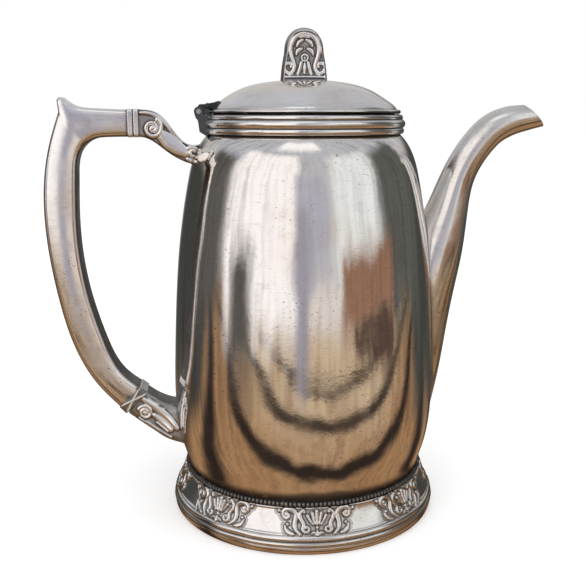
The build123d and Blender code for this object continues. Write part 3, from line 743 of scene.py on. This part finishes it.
def resample(line, targets, rings):
    """The line's points so that it passes each target at that target's ring number."""
    steps = np.concatenate([[0], np.cumsum(np.linalg.norm(np.diff(line, axis=0), axis=1))])
    marks = [steps[np.argmin(np.linalg.norm(line - np.array(t), axis=1))] for t in targets]
    at = np.interp(np.arange(rings[-1] + 1), rings, marks)
    return np.column_stack([np.interp(at, steps, line[:, k]) for k in (0, 1)])


def rounded_section(length, half_depth, radius, flat):
    """A rounded rectangle as (across 0..length, depth) points, closed, with even sampling on each flat."""
    corners = [(length, half_depth), (0, half_depth), (0, -half_depth), (length, -half_depth)]
    points = []
    for k, (cx, cy) in enumerate(corners):
        centre_x = cx - radius * (1 if cx else -1)
        centre_y = cy - radius * (1 if cy > 0 else -1)
        turn = np.linspace(math.pi / 2 * k, math.pi / 2 * (k + 1), 7)
        points.append(np.column_stack([centre_x + radius * np.cos(turn), centre_y + radius * np.sin(turn)]))
    closed = []
    for k in range(4):
        closed.append(points[k])
        start, end = points[k][-1], points[(k + 1) % 4][0]
        inner = np.linspace(0, 1, flat + 2)[1:-1, None]
        closed.append(start + (end - start) * inner)
    return np.vstack(closed)


def section_rings(inner, outer, half_depth, radius, flat):
    """Rings of a rounded rectangle between two edges in the handle's plane."""
    rings = []
    for (ix, iz), (ox, oz), depth in zip(inner, outer, np.broadcast_to(half_depth, len(inner))):
        length = math.hypot(ox - ix, oz - iz)
        section = rounded_section(length, depth, min(radius, length * 0.42), flat)
        share = section[:, 0] / length
        rings.append(np.column_stack([ix + (ox - ix) * share, section[:, 1], iz + (oz - iz) * share]))
    return np.array(rings)


def capped(rings):
    rows, columns = rings.shape[:2]
    faces = list(grid_faces(rows, columns))
    faces.append(np.arange(columns)[::-1])
    faces.append(np.arange(columns) + (rows - 1) * columns)
    return rings.reshape(-1, 3), faces


def make_grip():
    corner = arc(GRIP_TOP_EDGE[-1], HORN_TIP, HORN_FOOT, 12)
    outer_line = path(spline(GRIP_TOP_EDGE, 120), corner, spline(GRIP_OUTER_EDGE, 400))
    inner_line = spline(GRIP_INNER_EDGE, 500)
    marks, outer_marks, inner_marks = zip(*GRIP_PAIRS)
    outer = resample(outer_line, outer_marks, marks)
    inner = resample(inner_line, inner_marks, marks)
    rings = section_rings(inner, outer, HANDLE_HALF_DEPTH, EDGE_ROUND, 16)
    middle = (outer + inner) / 2
    width = np.linalg.norm(outer - inner, axis=1)
    off = np.linalg.norm(rings[:, :, [0, 2]] - middle[:, None], axis=2) / (width[:, None] / 2)
    rings[..., 1] *= 1 - GRIP_CROWN * off**2
    points, faces = capped(rings)
    points[:, 1] += 0.03 * ripple(points, 22, 8) * np.sign(points[:, 1])
    to_upper_band = np.abs(points[:, 0] - rings[0, 0, 0])
    to_lower_band = np.linalg.norm(points[:, [0, 2]] - np.array(LOWER_BAND_PLACE), axis=1) * 0.5
    nearest = np.minimum(to_upper_band, to_lower_band)
    across = np.tile(rounded_section(1, 0.5, 0.2, 16)[:, 0], len(rings))
    # Tarnish at the joints with the bands, and painted shade along the inner face toward the opening.
    oxide_and_shade = np.maximum(smoothstep(1.2, 0.0, nearest) * 0.8, smoothstep(0.10, 0.02, across) * 0.82)
    nodes = ["grip_front_half", "grip_rear_half"]
    piece("grip", points, faces, "pot", nodes, "silver_plate", HANDLE_SILVER, oxide_and_shade)


BAND_ROWS = 41
GROOVE_DEPTH = 0.5
GROOVE_WIDTH = 0.045  # as a share of the band's length
LOWER_BAND_GRIP = [(-75, 57.6), (-84.6, 48.4)]
LOWER_BAND_MOUNT = [(-71.4, 54.8), (-81.4, 45.1)]


def band_rings(start, end, half_depth, beads):
    """A sleeve between two (inner, outer) edges, with raised flat reeds along its length."""
    share = np.linspace(0, 1, BAND_ROWS)
    edges = np.linspace(0, 1, beads + 1)
    groove = np.exp(-(((share[:, None] - edges) / GROOVE_WIDTH) ** 2)).max(axis=1)
    rings = []
    for s, g in zip(share, groove):
        inner = np.array(start[0]) * (1 - s) + np.array(end[0]) * s
        outer = np.array(start[1]) * (1 - s) + np.array(end[1]) * s
        way = (outer - inner) / np.linalg.norm(outer - inner)
        sunk = g * GROOVE_DEPTH
        inner, outer = inner + way * sunk, outer - way * sunk
        rings.append(section_rings([inner], [outer], half_depth - sunk, 1.3, 12)[0])
    rings = np.array(rings)
    return rings, np.repeat(groove[:, None], rings.shape[1], 1)


def make_bands():
    depth = box_mm("handle_upper_band")[1][1]
    ends = [(-76.1, 168.9), (-76.1, 180.8)], [(-71.1, 168.9), (-71.1, 180.8)]
    rings, groove = band_rings(*ends, depth, 2)
    points, faces = capped(rings)
    oxide_and_shade = groove.ravel() * 0.95
    piece("upper_band", points, faces, "pot", ["handle_upper_band"], "silver_plate", RELIEF_SILVER, oxide_and_shade)
    rings, groove = band_rings(LOWER_BAND_GRIP, LOWER_BAND_MOUNT, depth, 1)
    points, faces = capped(rings)
    axis = np.array([-9.6, -9.2]) / math.hypot(9.6, 9.2)
    off = points[:, [0, 2]] - np.array([-78.1, 51.5])
    along = off @ axis / 6.4
    across = off @ np.array([axis[1], -axis[0]]) / 2.2
    cross = np.exp(-(((np.abs(along) - np.abs(across)) / 0.22) ** 2)) * (np.abs(points[:, 1]) > depth - 1.0)
    inside = (np.abs(points[:, 1]) > depth - 1.2) * (1 - cross)
    points[:, 1] -= np.sign(points[:, 1]) * inside * 0.35
    oxide_and_shade = np.maximum(groove.ravel() * 0.9, inside * 0.75)
    piece("lower_band", points, faces, "pot", ["handle_lower_band"], "silver_plate", RELIEF_SILVER, oxide_and_shade)


RELIEF_TOP = 1.2
RELIEF_LIFT = 0.8
RELIEF_SINK = 0.95
RELIEF_GROUND = 0.62
UPPER_CREST = [(-71.1, 180.5), (-64.5, 179.4), (-58.6, 173.7), (-50.5, 165.6), (-38, 167)]
UPPER_BELLY = [(-71.1, 169), (-60.2, 163.2), (-50, 157.7), (-38, 156.5)]


def upper_mount_strokes():
    """The upper mount's side ornament: a volute beside the band, an edge line and a curl by the body."""
    volute = scroll((-65.5, 172.7), (4.1, 0.9), (60, -520), (1.1, 0.7), 1.3, 150)
    eye = ball((-65.6, 172.8), 1.3, 1.5)
    edge = stroke(
        [(-70.5, 179.2), (-66.5, 178.9), (-62.4, 177.0), (-57.5, 171.6), (-53.0, 166.9)],
        [0.7, 0.9, 0.9, 0.6], 1.0, 90,
    )
    leaf = stroke([(-61.4, 169.4), (-57.0, 166.0), (-51.8, 162.4)], [2.6, 3.8, 3.4, 2.2], 0.95, 70)
    curl = scroll((-48.4, 162.4), (2.6, 0.7), (140, -330), (1.1, 0.7), 1.15, 90)
    tail = stroke([(-50.9, 159.6), (-48.0, 158.7), (-45.0, 160.4)], [0.9, 1.3, 0.8], 0.9, 40)
    return [volute, eye, edge, leaf, curl, tail]


LOWER_STATIONS = [  # centre x and z, half height, half width, heading in degrees
    (-76.4, 50, 6.7, 7.25, -38),
    (-71.15, 46.1, 6.8, 7.6, -36),
    (-64.35, 42.15, 7.5, 8.6, -30),
    (-59.0, 40.2, 8.5, 10.2, -18),
    (-50.75, 38.8, 9.4, 11.2, -8),
]


def lower_mount_strokes():
    """The lower mount's side ornament: a volute below the band, then a strap that runs on to the body."""
    volute = scroll((-73.1, 45.5), (3.3, 0.8), (150, -430), (0.95, 0.65), 1.25, 140)
    eye = ball((-73.1, 45.5), 1.1, 1.35)
    strap = [(-76.0, 53.0), (-71.2, 50.2), (-67.0, 46.9), (-62.4, 42.9), (-58.8, 38.4)]
    strap = stroke(strap, [0.9, 1.5, 1.8, 1.7, 1.2], 1.15, 100)
    edge = stroke(
        [(-76.0, 43.0), (-71.5, 39.9), (-67.3, 37.3), (-61.6, 34.0)], [0.6, 0.9, 1.0, 0.8], 1.0, 80
    )
    leaf = stroke([(-68.9, 44.2), (-65.3, 41.3), (-61.7, 37.8)], [1.1, 1.9, 1.5], 1.0, 60)
    vein = stroke([(-67.9, 40.8), (-65.4, 38.9), (-62.9, 36.8)], [0.5, 0.7, 0.5], 0.8, 40)
    return [volute, eye, strap, edge, leaf, vein]


def relief_shift(height):
    """How far a cast face moves out: the tops of the strokes stay put and the ground sinks."""
    return np.where(height > 0.04, (height - RELIEF_TOP) * RELIEF_LIFT, -RELIEF_SINK)


def carved(points, strokes, half_depth):
    """Cuts the strokes into both flat sides of a mount, and gives its oxide."""
    height = stroke_height(points[:, 0], points[:, 2], strokes)
    side = smoothstep(half_depth * 0.62, half_depth * 0.9, np.abs(points[:, 1]))
    points[:, 1] += np.sign(points[:, 1]) * relief_shift(height) * side
    return side * outlined(height, points[:, 0], points[:, 2], strokes, 0.7, RELIEF_GROUND)


def make_mount(name, node, rings, strokes, half_depth, topside):
    """A cast mount from its rings, seated on the body, carved, and closed only at the band's end."""
    seated, buried = seat_on_body(rings, 1.4)
    points, faces = capped(seated)
    grid = keep_faces(grid_faces(*rings.shape[:2]), buried.ravel())
    oxide_and_shade = np.maximum(carved(points, strokes, half_depth), topside)
    oxide_and_shade = np.maximum(oxide_and_shade, joint_tarnish(points, 0.7))
    points, faces, oxide_and_shade = compact(points, list(grid) + [faces[-2]], oxide_and_shade)
    piece(name, points, faces, "pot", [node], "oxidised_silver_relief", RELIEF_SILVER, oxide_and_shade, crease=60)


def make_upper_mount():
    outer = spline(UPPER_CREST, 130, (1, 0), (1, 0.1))
    inner = spline(UPPER_BELLY, 130, (1, 0), (1, 0))
    rings = section_rings(inner, outer, HANDLE_HALF_DEPTH, 1.2, 46)
    make_mount("upper_mount", "handle_upper_mount", rings, upper_mount_strokes(), HANDLE_HALF_DEPTH, 0.0)


def make_lower_mount():
    fine = spline(LOWER_STATIONS, 110)
    rings = []
    for x, z, half_height, half_width, heading in fine:
        a = math.radians(heading)
        section = rounded_section(2 * half_height, half_width, min(0.45 * half_width, 3.0), 40)
        up = section[:, 0] - half_height
        rings.append(np.column_stack([x - math.sin(a) * up, section[:, 1], z + math.cos(a) * up]))
    rings = np.array(rings)
    joint = np.array(LOWER_BAND_MOUNT)
    way = (joint[1] - joint[0]) / np.linalg.norm(joint[1] - joint[0])
    normal = np.array([-way[1], way[0]])
    before = (rings[..., 0] - joint[0, 0]) * normal[0] + (rings[..., 2] - joint[0, 1]) * normal[1]
    push = np.clip(-before, 0, None)
    rings[..., 0] += normal[0] * push
    rings[..., 2] += normal[1] * push
    depth = np.repeat(fine[:, 3], rings.shape[1])
    across = np.tile(rounded_section(1, 0.5, 0.2, 40)[:, 0], len(rings))
    topside = smoothstep(0.93, 0.985, across) * 0.85
    make_mount("lower_mount", "handle_lower_mount", rings, lower_mount_strokes(), depth, topside)


# --- lid
LID_LOW, LID_HIGH = box_mm("lid_dome")
LID_Z, DOME_TOP = LID_LOW[2], LID_HIGH[2]
DOME_SIDE = [(40.6, LID_Z + 1.8), (37.1, 183.8), (28.6, 188.9), (15, 192.3), (0, DOME_TOP)]
STUD_HOLE = 2.05
DOME = spline(DOME_SIDE, 90, (-0.5, 1), (-1, 0))


def dome_height(radius):
    return np.interp(radius, DOME[::-1, 0], DOME[::-1, 1])


def make_dome():
    outer = DOME[DOME[:, 0] > STUD_HOLE]
    inner = outer[::-2] - np.array([0, 1.0])
    inner[:, 0] = np.clip(inner[:, 0] - 0.4, STUD_HOLE, None)
    flange = [(39.55, LID_Z), (41.45, LID_Z), (41.45, LID_Z + 1.0), (40.75, LID_Z + 1.05)]
    profile = path(outer, inner, flange)
    points, faces = lathe(profile, 300)
    r = radius_of(points)
    points[:, 2] += 0.04 * ripple(points, 22, 11) * smoothstep(41, 36, r)
    foot = np.maximum(np.abs(points[:, 0]) - 9.6, np.abs(points[:, 1]) - 3.4)
    oxide_and_shade = smoothstep(1.6, 0.2, foot) * 0.55 + smoothstep(0.8, 0.0, np.abs(r - 40.9)) * 0.55
    inside = points[:, 2] < dome_height(r) - 0.5
    oxide_and_shade = np.where(inside & (r < 40), 0.25, oxide_and_shade)
    piece("lid_cover", points, faces, "lid", ["lid_dome"], "silver_plate", LID_SILVER, oxide_and_shade, crease=50)


def make_lid_rim():
    low, high = box_mm("lid_rim_wire")
    edge = arc((41.5, high[2]), (high[0], (low[2] + high[2]) / 2), (41.5, low[2]), 16)
    points, faces = lathe(path(edge, (41.4, low[2] + 0.3), (41.4, high[2] - 0.3)), 300)
    oxide_and_shade = smoothstep(LID_Z + 1.0, LID_Z + 0.6, points[:, 2])
    piece("lid_rim", points, faces, "lid", ["lid_rim_wire"], "silver_plate", LID_SILVER, oxide_and_shade)


def make_bezel():
    low, high = box_mm("lid_bezel")
    wall = 0.9
    edge = arc((high[0], low[2] + 0.4), (high[0] - wall / 2, low[2]), (high[0] - wall, low[2] + 0.4), 7)
    points, faces = lathe(path((high[0], high[2]), edge, (high[0] - wall, high[2])), 240)
    points[:, :2] *= 1 + 0.0006 * ripple(points, 12, 14)[:, None]
    piece("lid_inner_rim", points, faces, "lid", ["lid_bezel"], "silver_plate", INSIDE, 0.2)


FINIAL_BASE = 191.9
FINIAL_LOW, FINIAL_HIGH = box_mm("finial")
FINIAL_TOP, FINIAL_DEPTH = FINIAL_HIGH[2], FINIAL_HIGH[1]
FINIAL_CENTRE = np.array([0.0, 201.5])
# The plaque's rounded edge, as shares of the way out and of the depth.
FINIAL_ROUNDING = [(0.18, 0.96), (0.45, 0.86), (0.8, 0.45), (1.0, 0.0)]
STUD_TOP = 192.4
STUD_RADIUS = 1.85
THREAD_PITCH = 0.5


def finial_outline(inset):
    """Half outlines mirrored into one closed line, as x and z, drawn in by inset."""
    flank = spline([(10.3, 191.5), (9.6, 199), (8.7, 204)], 40) - np.array([inset, 0])
    shoulder = [(8.3 - inset, 207.6), (7.0 - inset, 211.1 - inset / 2), (4.2, 213.9 - inset)]
    crown = spline([flank[-1], *shoulder, (0, FINIAL_TOP - inset)], 34, (-0.12, 1), (-1, 0))
    right = path(flank, crown[1:])
    right[:, 1] = np.clip(right[:, 1], FINIAL_BASE, None)
    left = right[-2::-1] * np.array([-1, 1])
    base = np.column_stack([np.linspace(left[-1, 0], right[0, 0], 34), np.full(34, FINIAL_BASE)])
    return path(right, left, base[1:-1])


def finial_strokes():
    """The plaque's ornament: a horseshoe scroll with petals, a berried stem and a stepped base."""
    side = stroke(
        [(0, 212.4), (3.2, 211.4), (5.4, 208.4), (6.1, 204.6), (5.0, 200.6), (4.6, 197.6), (6.4, 195.6)],
        [0.8, 0.95, 1.0, 1.05, 1.0, 0.85], 1.2, 140,
    )
    curl = scroll((6.6, 198.6), (2.9, 0.6), (-110, 190), (0.85, 0.65), 1.1, 90)
    petal_top = stroke([(0.9, 209.6), (2.2, 208.9), (3.3, 207.2)], [0.6, 0.9, 0.6], 0.9, 30)
    petal_side = stroke([(1.3, 206.0), (2.7, 205.4), (3.6, 203.6)], [0.6, 0.9, 0.5], 0.85, 30)
    stem = stroke([(1.5, 200.3), (2.0, 198.0), (2.9, 195.6)], [0.7, 0.8, 0.7], 0.9, 40)
    parts = mirrored([side, curl, petal_top, petal_side, stem])
    crown = stroke([(-1.8, 210.9), (0, 211.3), (1.8, 210.9)], [0.6, 0.8, 0.6], 1.0, 30)
    berry = scroll((0, 202.3), (1.35, 1.35), (0, 360), (0.5, 0.5), 1.1, 50)
    seed = ball((0, 202.3), 0.6, 1.2)
    pendant = stroke([(0, 199.9), (0, 198.0), (0, 196.0)], [0.5, 0.9, 0.6], 1.0, 30)
    step = stroke([(-8.4, 194.3), (0, 194.4), (8.4, 194.3)], [0.55, 0.5, 0.55], 1.0, 120)
    return parts + [crown, berry, seed, pendant, step]


def make_finial():
    face_outline, side_outline = finial_outline(1.25), finial_outline(0.0)
    shares = np.linspace(0.02, 1, 74) ** 0.8
    loops = [
        upright(FINIAL_CENTRE + (face_outline - FINIAL_CENTRE) * share, -FINIAL_DEPTH) for share in shares
    ]
    for out, depth in FINIAL_ROUNDING:
        loops.append(upright(face_outline + (side_outline - face_outline) * out, -FINIAL_DEPTH * depth))
    front = np.array(loops)
    on_face = np.zeros(front.shape[:2])
    on_face[: len(shares)] = smoothstep(1.0, 0.93, shares)[:, None]
    height = stroke_height(front[..., 0], front[..., 2], finial_strokes())
    tone = on_face * outlined(height, front[..., 0], front[..., 2], finial_strokes(), 0.6, RELIEF_GROUND)
    tone[len(shares) :] = 0.55
    front[..., 1] -= relief_shift(height) * on_face
    points, faces = capped(np.vstack([front, front[::-1][1:] * np.array([1, -1, 1])]))
    tones = np.vstack([tone, tone[::-1][1:]]).ravel()
    slot = "oxidised_silver_relief"
    piece("finial_plaque", points, faces, "lid", ["finial"], slot, RELIEF_SILVER, tones, crease=65)


def make_stud():
    low = FINIAL_LOW[2]
    thread = np.linspace(low, STUD_TOP, 60)
    r = STUD_RADIUS + 0.12 * np.cos((thread - low) / THREAD_PITCH * 2 * math.pi)
    points, faces = lathe(path((0.0, low), np.column_stack([r, thread]), (0.0, STUD_TOP)), 40)
    piece("finial_stud", points, faces, "lid", [], "nickel_silver", NICKEL, 0.2)


# --- hinge, washer and nut
def dress(node, material, width):
    """Gives a carried-over CAD piece its metal and eased edges."""
    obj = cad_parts[node]
    obj.data.materials.clear()
    obj.data.materials.append(material)
    weld = obj.modifiers.new("weld", "WELD")
    weld.merge_threshold = 0.005 * MM
    bevel = obj.modifiers.new("edges", "BEVEL")
    bevel.width = width * MM
    bevel.segments = 2
    bevel.limit_method = "ANGLE"
    bevel.angle_limit = math.radians(28)


LEAF_HALF = 9.4
LEAF_OUTER = -43.4
LEAF_INNER_RADIUS = 37.4
LEAF_BASE = 180.9
LEAF_TOP = 182.75
LEAF_SLOPE = 0.18
LEAF_POINTS = 40
PIN_LOW, PIN_HIGH = box_mm("hinge_pin")
HINGE_CENTRE = ((PIN_LOW + PIN_HIGH) / 2)[[0, 2]]
PIN_BORE = (PIN_HIGH[0] - PIN_LOW[0]) / 2 + 0.05
KNUCKLE = 2.0
KNUCKLE_HALF = 4.25
ARM_END = -43.0
SEAT_CLEAR = box_mm("neck_collar")[1][2] + 0.02


def make_hinge_web():
    """The strip that joins the lid's rim to its hinge leaf, with eased edges."""
    section = rounded_section(3.4, 1.38, 0.25, 4) + np.array([-43.5, 179.74])
    rings = [upright(section, y) for y in np.linspace(-LEAF_HALF, LEAF_HALF, 25)]
    points, faces = capped(np.array(rings))
    piece("lid_hinge_web", points, faces, "lid", [], "tarnished_silver", TARNISHED, 0.3)


def leaf_section(y, ease):
    """The leaf's outline at depth y and the oxide along it. Ease rounds the leaf's corners."""
    inner = -math.sqrt(LEAF_INNER_RADIUS**2 - y**2)
    x = np.linspace(LEAF_OUTER + ease, inner, LEAF_POINTS)
    dome = dome_height(np.hypot(x, y))
    top = LEAF_TOP - ease + LEAF_SLOPE * (x - LEAF_OUTER)
    bead = np.exp(-(((x - inner + 1.1) / 0.4) ** 2)) + np.exp(-(((x - LEAF_OUTER - 1.3) / 0.45) ** 2))
    nose = smoothstep(0.0, 0.5, inner - x) * smoothstep(0.0, 0.3, x - LEAF_OUTER)
    top = np.maximum(top + 0.3 * bead, dome + 0.15) - 0.3 * (1 - nose)
    under = np.where(x > -41.2, np.maximum(dome - 0.3, LEAF_BASE - 1), LEAF_BASE)
    outline = path(np.column_stack([x, top]), np.column_stack([x, under])[::-1])
    return upright(outline, y), np.concatenate([0.7 - 0.6 * bead, np.full(LEAF_POINTS, 0.8)])


def make_lid_leaf():
    """The lid's leaf: a wedge that grows out of the dome toward the hinge, with two beads across it."""
    edge = LEAF_HALF - np.array([0, 0.12])
    rows = np.concatenate([-edge, np.linspace(-LEAF_HALF + 0.4, LEAF_HALF - 0.4, 41), edge[::-1]])
    easing = np.concatenate([[0.4, 0.12], np.zeros(41), [0.12, 0.4]])
    rings, oxide_and_shade = zip(*[leaf_section(y, ease) for y, ease in zip(rows, easing)])
    points, faces = capped(np.array(rings))
    oxide_and_shade = np.array(oxide_and_shade).ravel()
    nodes, slot = ["lid_hinge_leaf"], "tarnished_silver"
    piece("lid_hinge_leaf_plate", points, faces, "lid", nodes, slot, TARNISHED, oxide_and_shade)


def make_lid_knuckle():
    """The lid's arm and knuckle: one outline round the pin's bore, carried across the hinge."""
    turn = np.radians(np.linspace(112, 322, 40))
    round_part = HINGE_CENTRE + KNUCKLE * np.column_stack([np.cos(turn), np.sin(turn)])
    arm = [
        (ARM_END, SEAT_CLEAR), (ARM_END, 180.6), (ARM_END, LEAF_TOP), (-44.2, LEAF_TOP + 0.1),
        (-45.4, LEAF_TOP),
    ]
    outline = path(round_part, arm)
    angle = np.arctan2(outline[:, 1] - HINGE_CENTRE[1], outline[:, 0] - HINGE_CENTRE[0])
    bore = HINGE_CENTRE + PIN_BORE * np.column_stack([np.cos(angle), np.sin(angle)])
    small = HINGE_CENTRE + (outline - HINGE_CENTRE) * 0.92
    loops = [
        (small, -KNUCKLE_HALF),
        (outline, -KNUCKLE_HALF + 0.2),
        (outline, KNUCKLE_HALF - 0.2),
        (small, KNUCKLE_HALF),
        (bore, KNUCKLE_HALF),
        (bore, -KNUCKLE_HALF),
        (small, -KNUCKLE_HALF),
    ]
    rings = np.array([upright(loop, y) for loop, y in loops])
    points, faces = rings.reshape(-1, 3), grid_faces(*rings.shape[:2])
    piece("lid_hinge_knuckle", points, faces, "lid", [], "tarnished_silver", TARNISHED, 0.35)


def make_hinge():
    make_hinge_web()
    make_lid_leaf()
    make_lid_knuckle()
    dress("body_hinge_leaf", TARNISHED, 0.22)
    dress("hinge_pin", NICKEL, 0.12)
    dress("finial_washer", NICKEL, 0.15)
    dress("finial_nut", NICKEL, 0.2)


# --- stage
FLOOR_HALF = 6.0  # metres
CAMERA_PLACE = (-39.9, -377.9, 178.7)
CAMERA_TURN = math.radians(6) - 0.0119  # from +Y toward +X
CAMERA_PITCH = 0.2085
CAMERA_LENS = 52.02
LIGHT_TARGET = (0, 0, 0.1)


def make_floor():
    corners = [(-1, -1), (1, -1), (1, 1), (-1, 1)]
    points = [(x * FLOOR_HALF, y * FLOOR_HALF, 0) for x, y in corners]
    mesh = bpy.data.meshes.new("floor")
    mesh.from_pydata(points, [], [(0, 1, 2, 3)])
    floor = add_object("floor", mesh)
    material = bpy.data.materials.new("pale_floor")
    material.use_nodes = True
    shader = material.node_tree.nodes["Principled BSDF"]
    shader.inputs["Base Color"].default_value = (0.90, 0.90, 0.90, 1)
    shader.inputs["Roughness"].default_value = 0.9
    shader.inputs["Emission Color"].default_value = (1, 1, 1, 1)
    shader.inputs["Emission Strength"].default_value = 0.22
    mesh.materials.append(material)
    floor.visible_glossy = False


def make_camera():
    data = bpy.data.cameras.new("camera")
    data.lens = CAMERA_LENS
    data.sensor_width = 36.0
    data.clip_start = 0.01
    camera = add_object("camera", data)
    camera.location = [c * MM for c in CAMERA_PLACE]
    look = Vector((
        math.sin(CAMERA_TURN) * math.cos(CAMERA_PITCH),
        math.cos(CAMERA_TURN) * math.cos(CAMERA_PITCH),
        -math.sin(CAMERA_PITCH),
    ))
    camera.rotation_mode = "QUATERNION"
    camera.rotation_quaternion = look.to_track_quat("-Z", "Y")
    bpy.context.scene.camera = camera


def make_light(name, place, size, power):
    data = bpy.data.lights.new(name, "AREA")
    data.shape = "DISK"
    data.size = size
    data.energy = power
    light = add_object(name, data)
    light.location = place
    light.rotation_mode = "QUATERNION"
    light.rotation_quaternion = (Vector(LIGHT_TARGET) - Vector(place)).to_track_quat("-Z", "Y")
    light.visible_glossy = False


# What the silver mirrors: azimuth from -Y toward +X, elevation, their half sizes, softness and colour.
SKY_PATCHES = [
    (0, 62, 180, 34, 16, (0.55, 0.56, 0.60)),
    (-46, 19, 34, 28, 9, (1.12, 1.07, 1.06)),
    (50, 20, 28, 24, 14, (0.90, 0.93, 0.93)),
    (138, -3, 36, 17, 14, (0.070, 0.074, 0.066)),
    (-138, -3, 36, 17, 14, (0.060, 0.064, 0.060)),
    (94, 15, 23, 24, 14, (0.12, 0.125, 0.115)),
    (-102, 12, 17, 22, 14, (0.12, 0.115, 0.11)),
    (-62, -5, 9, 9, 9, (0.11, 0.10, 0.09)),
    (2, 13, 15, 12, 14, (0.50, 0.50, 0.58)),
    (-7, 0, 6, 14, 9, (0.38, 0.36, 0.42)),
    (53, -3, 26, 7, 7, (0.33, 0.185, 0.12)),
    (58, -10, 20, 1.8, 3, (0.10, 0.065, 0.05)),
    (-14, 66, 34, 9, 12, (1.15, 1.14, 1.13)),
    (180, 20, 12, 34, 18, (0.60, 0.58, 0.56)),
    (-180, 20, 12, 34, 18, (0.60, 0.58, 0.56)),
]
# Dark seams in the ground it mirrors: how far out toward -Y, half width and darkness. Distances are in
# multiples of the height above the ground.
GROUND_SEAMS = [
    (0.95, 0.24, 0.97), (2.55, 0.30, 0.92), (4.1, 0.26, 0.85), (-0.72, 0.34, 0.97), (-2.2, 0.5, 0.8)
]
GROUND_SLANT = 0.24
GROUND_BOW = 0.03
GROUND_PALE = (0.64, 0.49, 0.33)
GROUND_TAN = (0.42, 0.24, 0.12)
GROUND_BROWN = (0.20, 0.10, 0.055)
SEAM_COLOUR = (0.022, 0.017, 0.016)
FAR_COLOUR = (0.78, 0.71, 0.66)
SKY_BASE = (0.62, 0.60, 0.60)
WOBBLE = 5.0  # degrees that soft edges wander by


def mirrored_ground(make, x, y, z, azimuth, drift):
    """The ground that the silver mirrors: tan near the pot, paler farther out, with dark bowed seams."""
    depth = make.math("MAXIMUM", make.math("MULTIPLY", z, -1.0), 0.02)
    across = make.math("DIVIDE", x, depth)
    toward = make.math("MULTIPLY", make.math("DIVIDE", y, depth), -1.0)
    out = make.math("ADD", toward, make.math("MULTIPLY", across, GROUND_SLANT))
    out = make.math("ADD", out, make.math("MULTIPLY", make.math("MULTIPLY", across, across), GROUND_BOW))
    out = make.math("ADD", out, make.math("MULTIPLY", drift(4.0, 2.0), 0.45))
    ground = make.paint(make.fade(out, 0.2, 3.6, 1.0, 0.0), GROUND_PALE, GROUND_TAN)
    ground = make.paint(make.fade(out, 4.8, 8.5), ground, FAR_COLOUR)
    ground = make.paint(make.fade(make.math("ABSOLUTE", azimuth), 60, 110), ground, GROUND_TAN)
    ground = make.paint(make.fade(drift(7.0, 5.0), 0.0, 0.18, 0.0, 0.35), ground, GROUND_BROWN)
    for at, half, darkness in GROUND_SEAMS:
        seam = make.math("MULTIPLY", near(make, out, at, half, half * 1.3), darkness)
        ground = make.paint(seam, ground, SEAM_COLOUR)
    return ground


def near(make, value, centre, half, soft):
    """1 while the value is within half of the centre, and softly down to 0 outside."""
    distance = make.math("ABSOLUTE", make.math("SUBTRACT", value, centre))
    return make.fade(distance, half - soft / 2, half + soft / 2, 1.0, 0.0)


def streaks(make, azimuth, elevation):
    """Soft dark streaks up and down, strongest at the sides and none straight behind."""
    values = {"X": make.math("MULTIPLY", azimuth, 0.30), "Y": make.math("MULTIPLY", elevation, 0.03)}
    streak = make.noise(make.add("CombineXYZ", "Vector", values), 1.0, 4.0)
    off_front = make.math("ABSOLUTE", azimuth)
    share = make.math(
        "MULTIPLY", make.fade(off_front, 20, 90, 0.35, 1.0), make.fade(off_front, 140, 172, 1.0, 0.0)
    )
    return make.math("MULTIPLY", make.fade(streak, 0.30, 0.58, 0.42, 0.0), share)


def make_world():
    """A studio that the silver mirrors, and a plain white for the floor and the background."""
    world = bpy.data.worlds.new("studio")
    bpy.context.scene.world = world
    world.use_nodes = True
    make = Nodes(world.node_tree)
    direction = make.add("TexCoord", "Generated", {})
    x, y, z = (make.add("SeparateXYZ", axis, {"Vector": direction}) for axis in "XYZ")

    def drift(scale, detail):
        return make.math("SUBTRACT", make.noise(direction, scale, detail), 0.5)

    def wobbly(angle, scale):
        degrees = make.math("MULTIPLY", angle, 180 / math.pi)
        return make.math("ADD", degrees, make.math("MULTIPLY", drift(scale, 3.0), WOBBLE * 2))

    azimuth = wobbly(make.math("ARCTAN2", x, make.math("MULTIPLY", y, -1.0)), 5.0)
    elevation = wobbly(make.math("ARCSINE", z), 6.5)
    colour = mirrored_ground(make, x, y, z, azimuth, drift)
    colour = make.paint(make.fade(elevation, -4.0, 1.0), colour, SKY_BASE)
    for at, height, half_width, half_height, soft, shade in SKY_PATCHES:
        mask = near(make, elevation, height, half_height, soft)
        if half_width < 180:
            mask = make.math("MULTIPLY", mask, near(make, azimuth, at, half_width, soft))
        colour = make.paint(mask, colour, shade)
    colour = make.paint(streaks(make, azimuth, elevation), colour, SEAM_COLOUR)
    mirrored = make.add("Background", "Background", {"Color": colour, "Strength": 1.0})
    plain = make.add("Background", "Background", {"Color": (1, 1, 1, 1), "Strength": 1.0})
    camera_ray, diffuse_ray = (
        make.add("LightPath", f"Is {kind} Ray", {}) for kind in ("Camera", "Diffuse")
    )
    values = {"Fac": make.math("MAXIMUM", camera_ray, diffuse_ray), 1: mirrored, 2: plain}
    surface = make.add("MixShader", "Shader", values)
    make.put(world.node_tree.nodes["World Output"].inputs["Surface"], surface)


# --- the pot, then its stage
make_body()
make_bottom_plate()
make_foot_ring()
make_foot_rim()
make_bead_wire()
make_collar()
make_spout()
make_grip()
make_bands()
make_upper_mount()
make_lower_mount()
make_dome()
make_lid_rim()
make_bezel()
make_finial()
make_stud()
make_hinge()

make_floor()
make_camera()
make_world()
make_light("key", (-0.9, -1.2, 1.6), 1.2, 7)
make_light("fill", (1.2, -0.8, 1.2), 1.4, 4)
bpy.context.scene.view_settings.view_transform = "Standard"
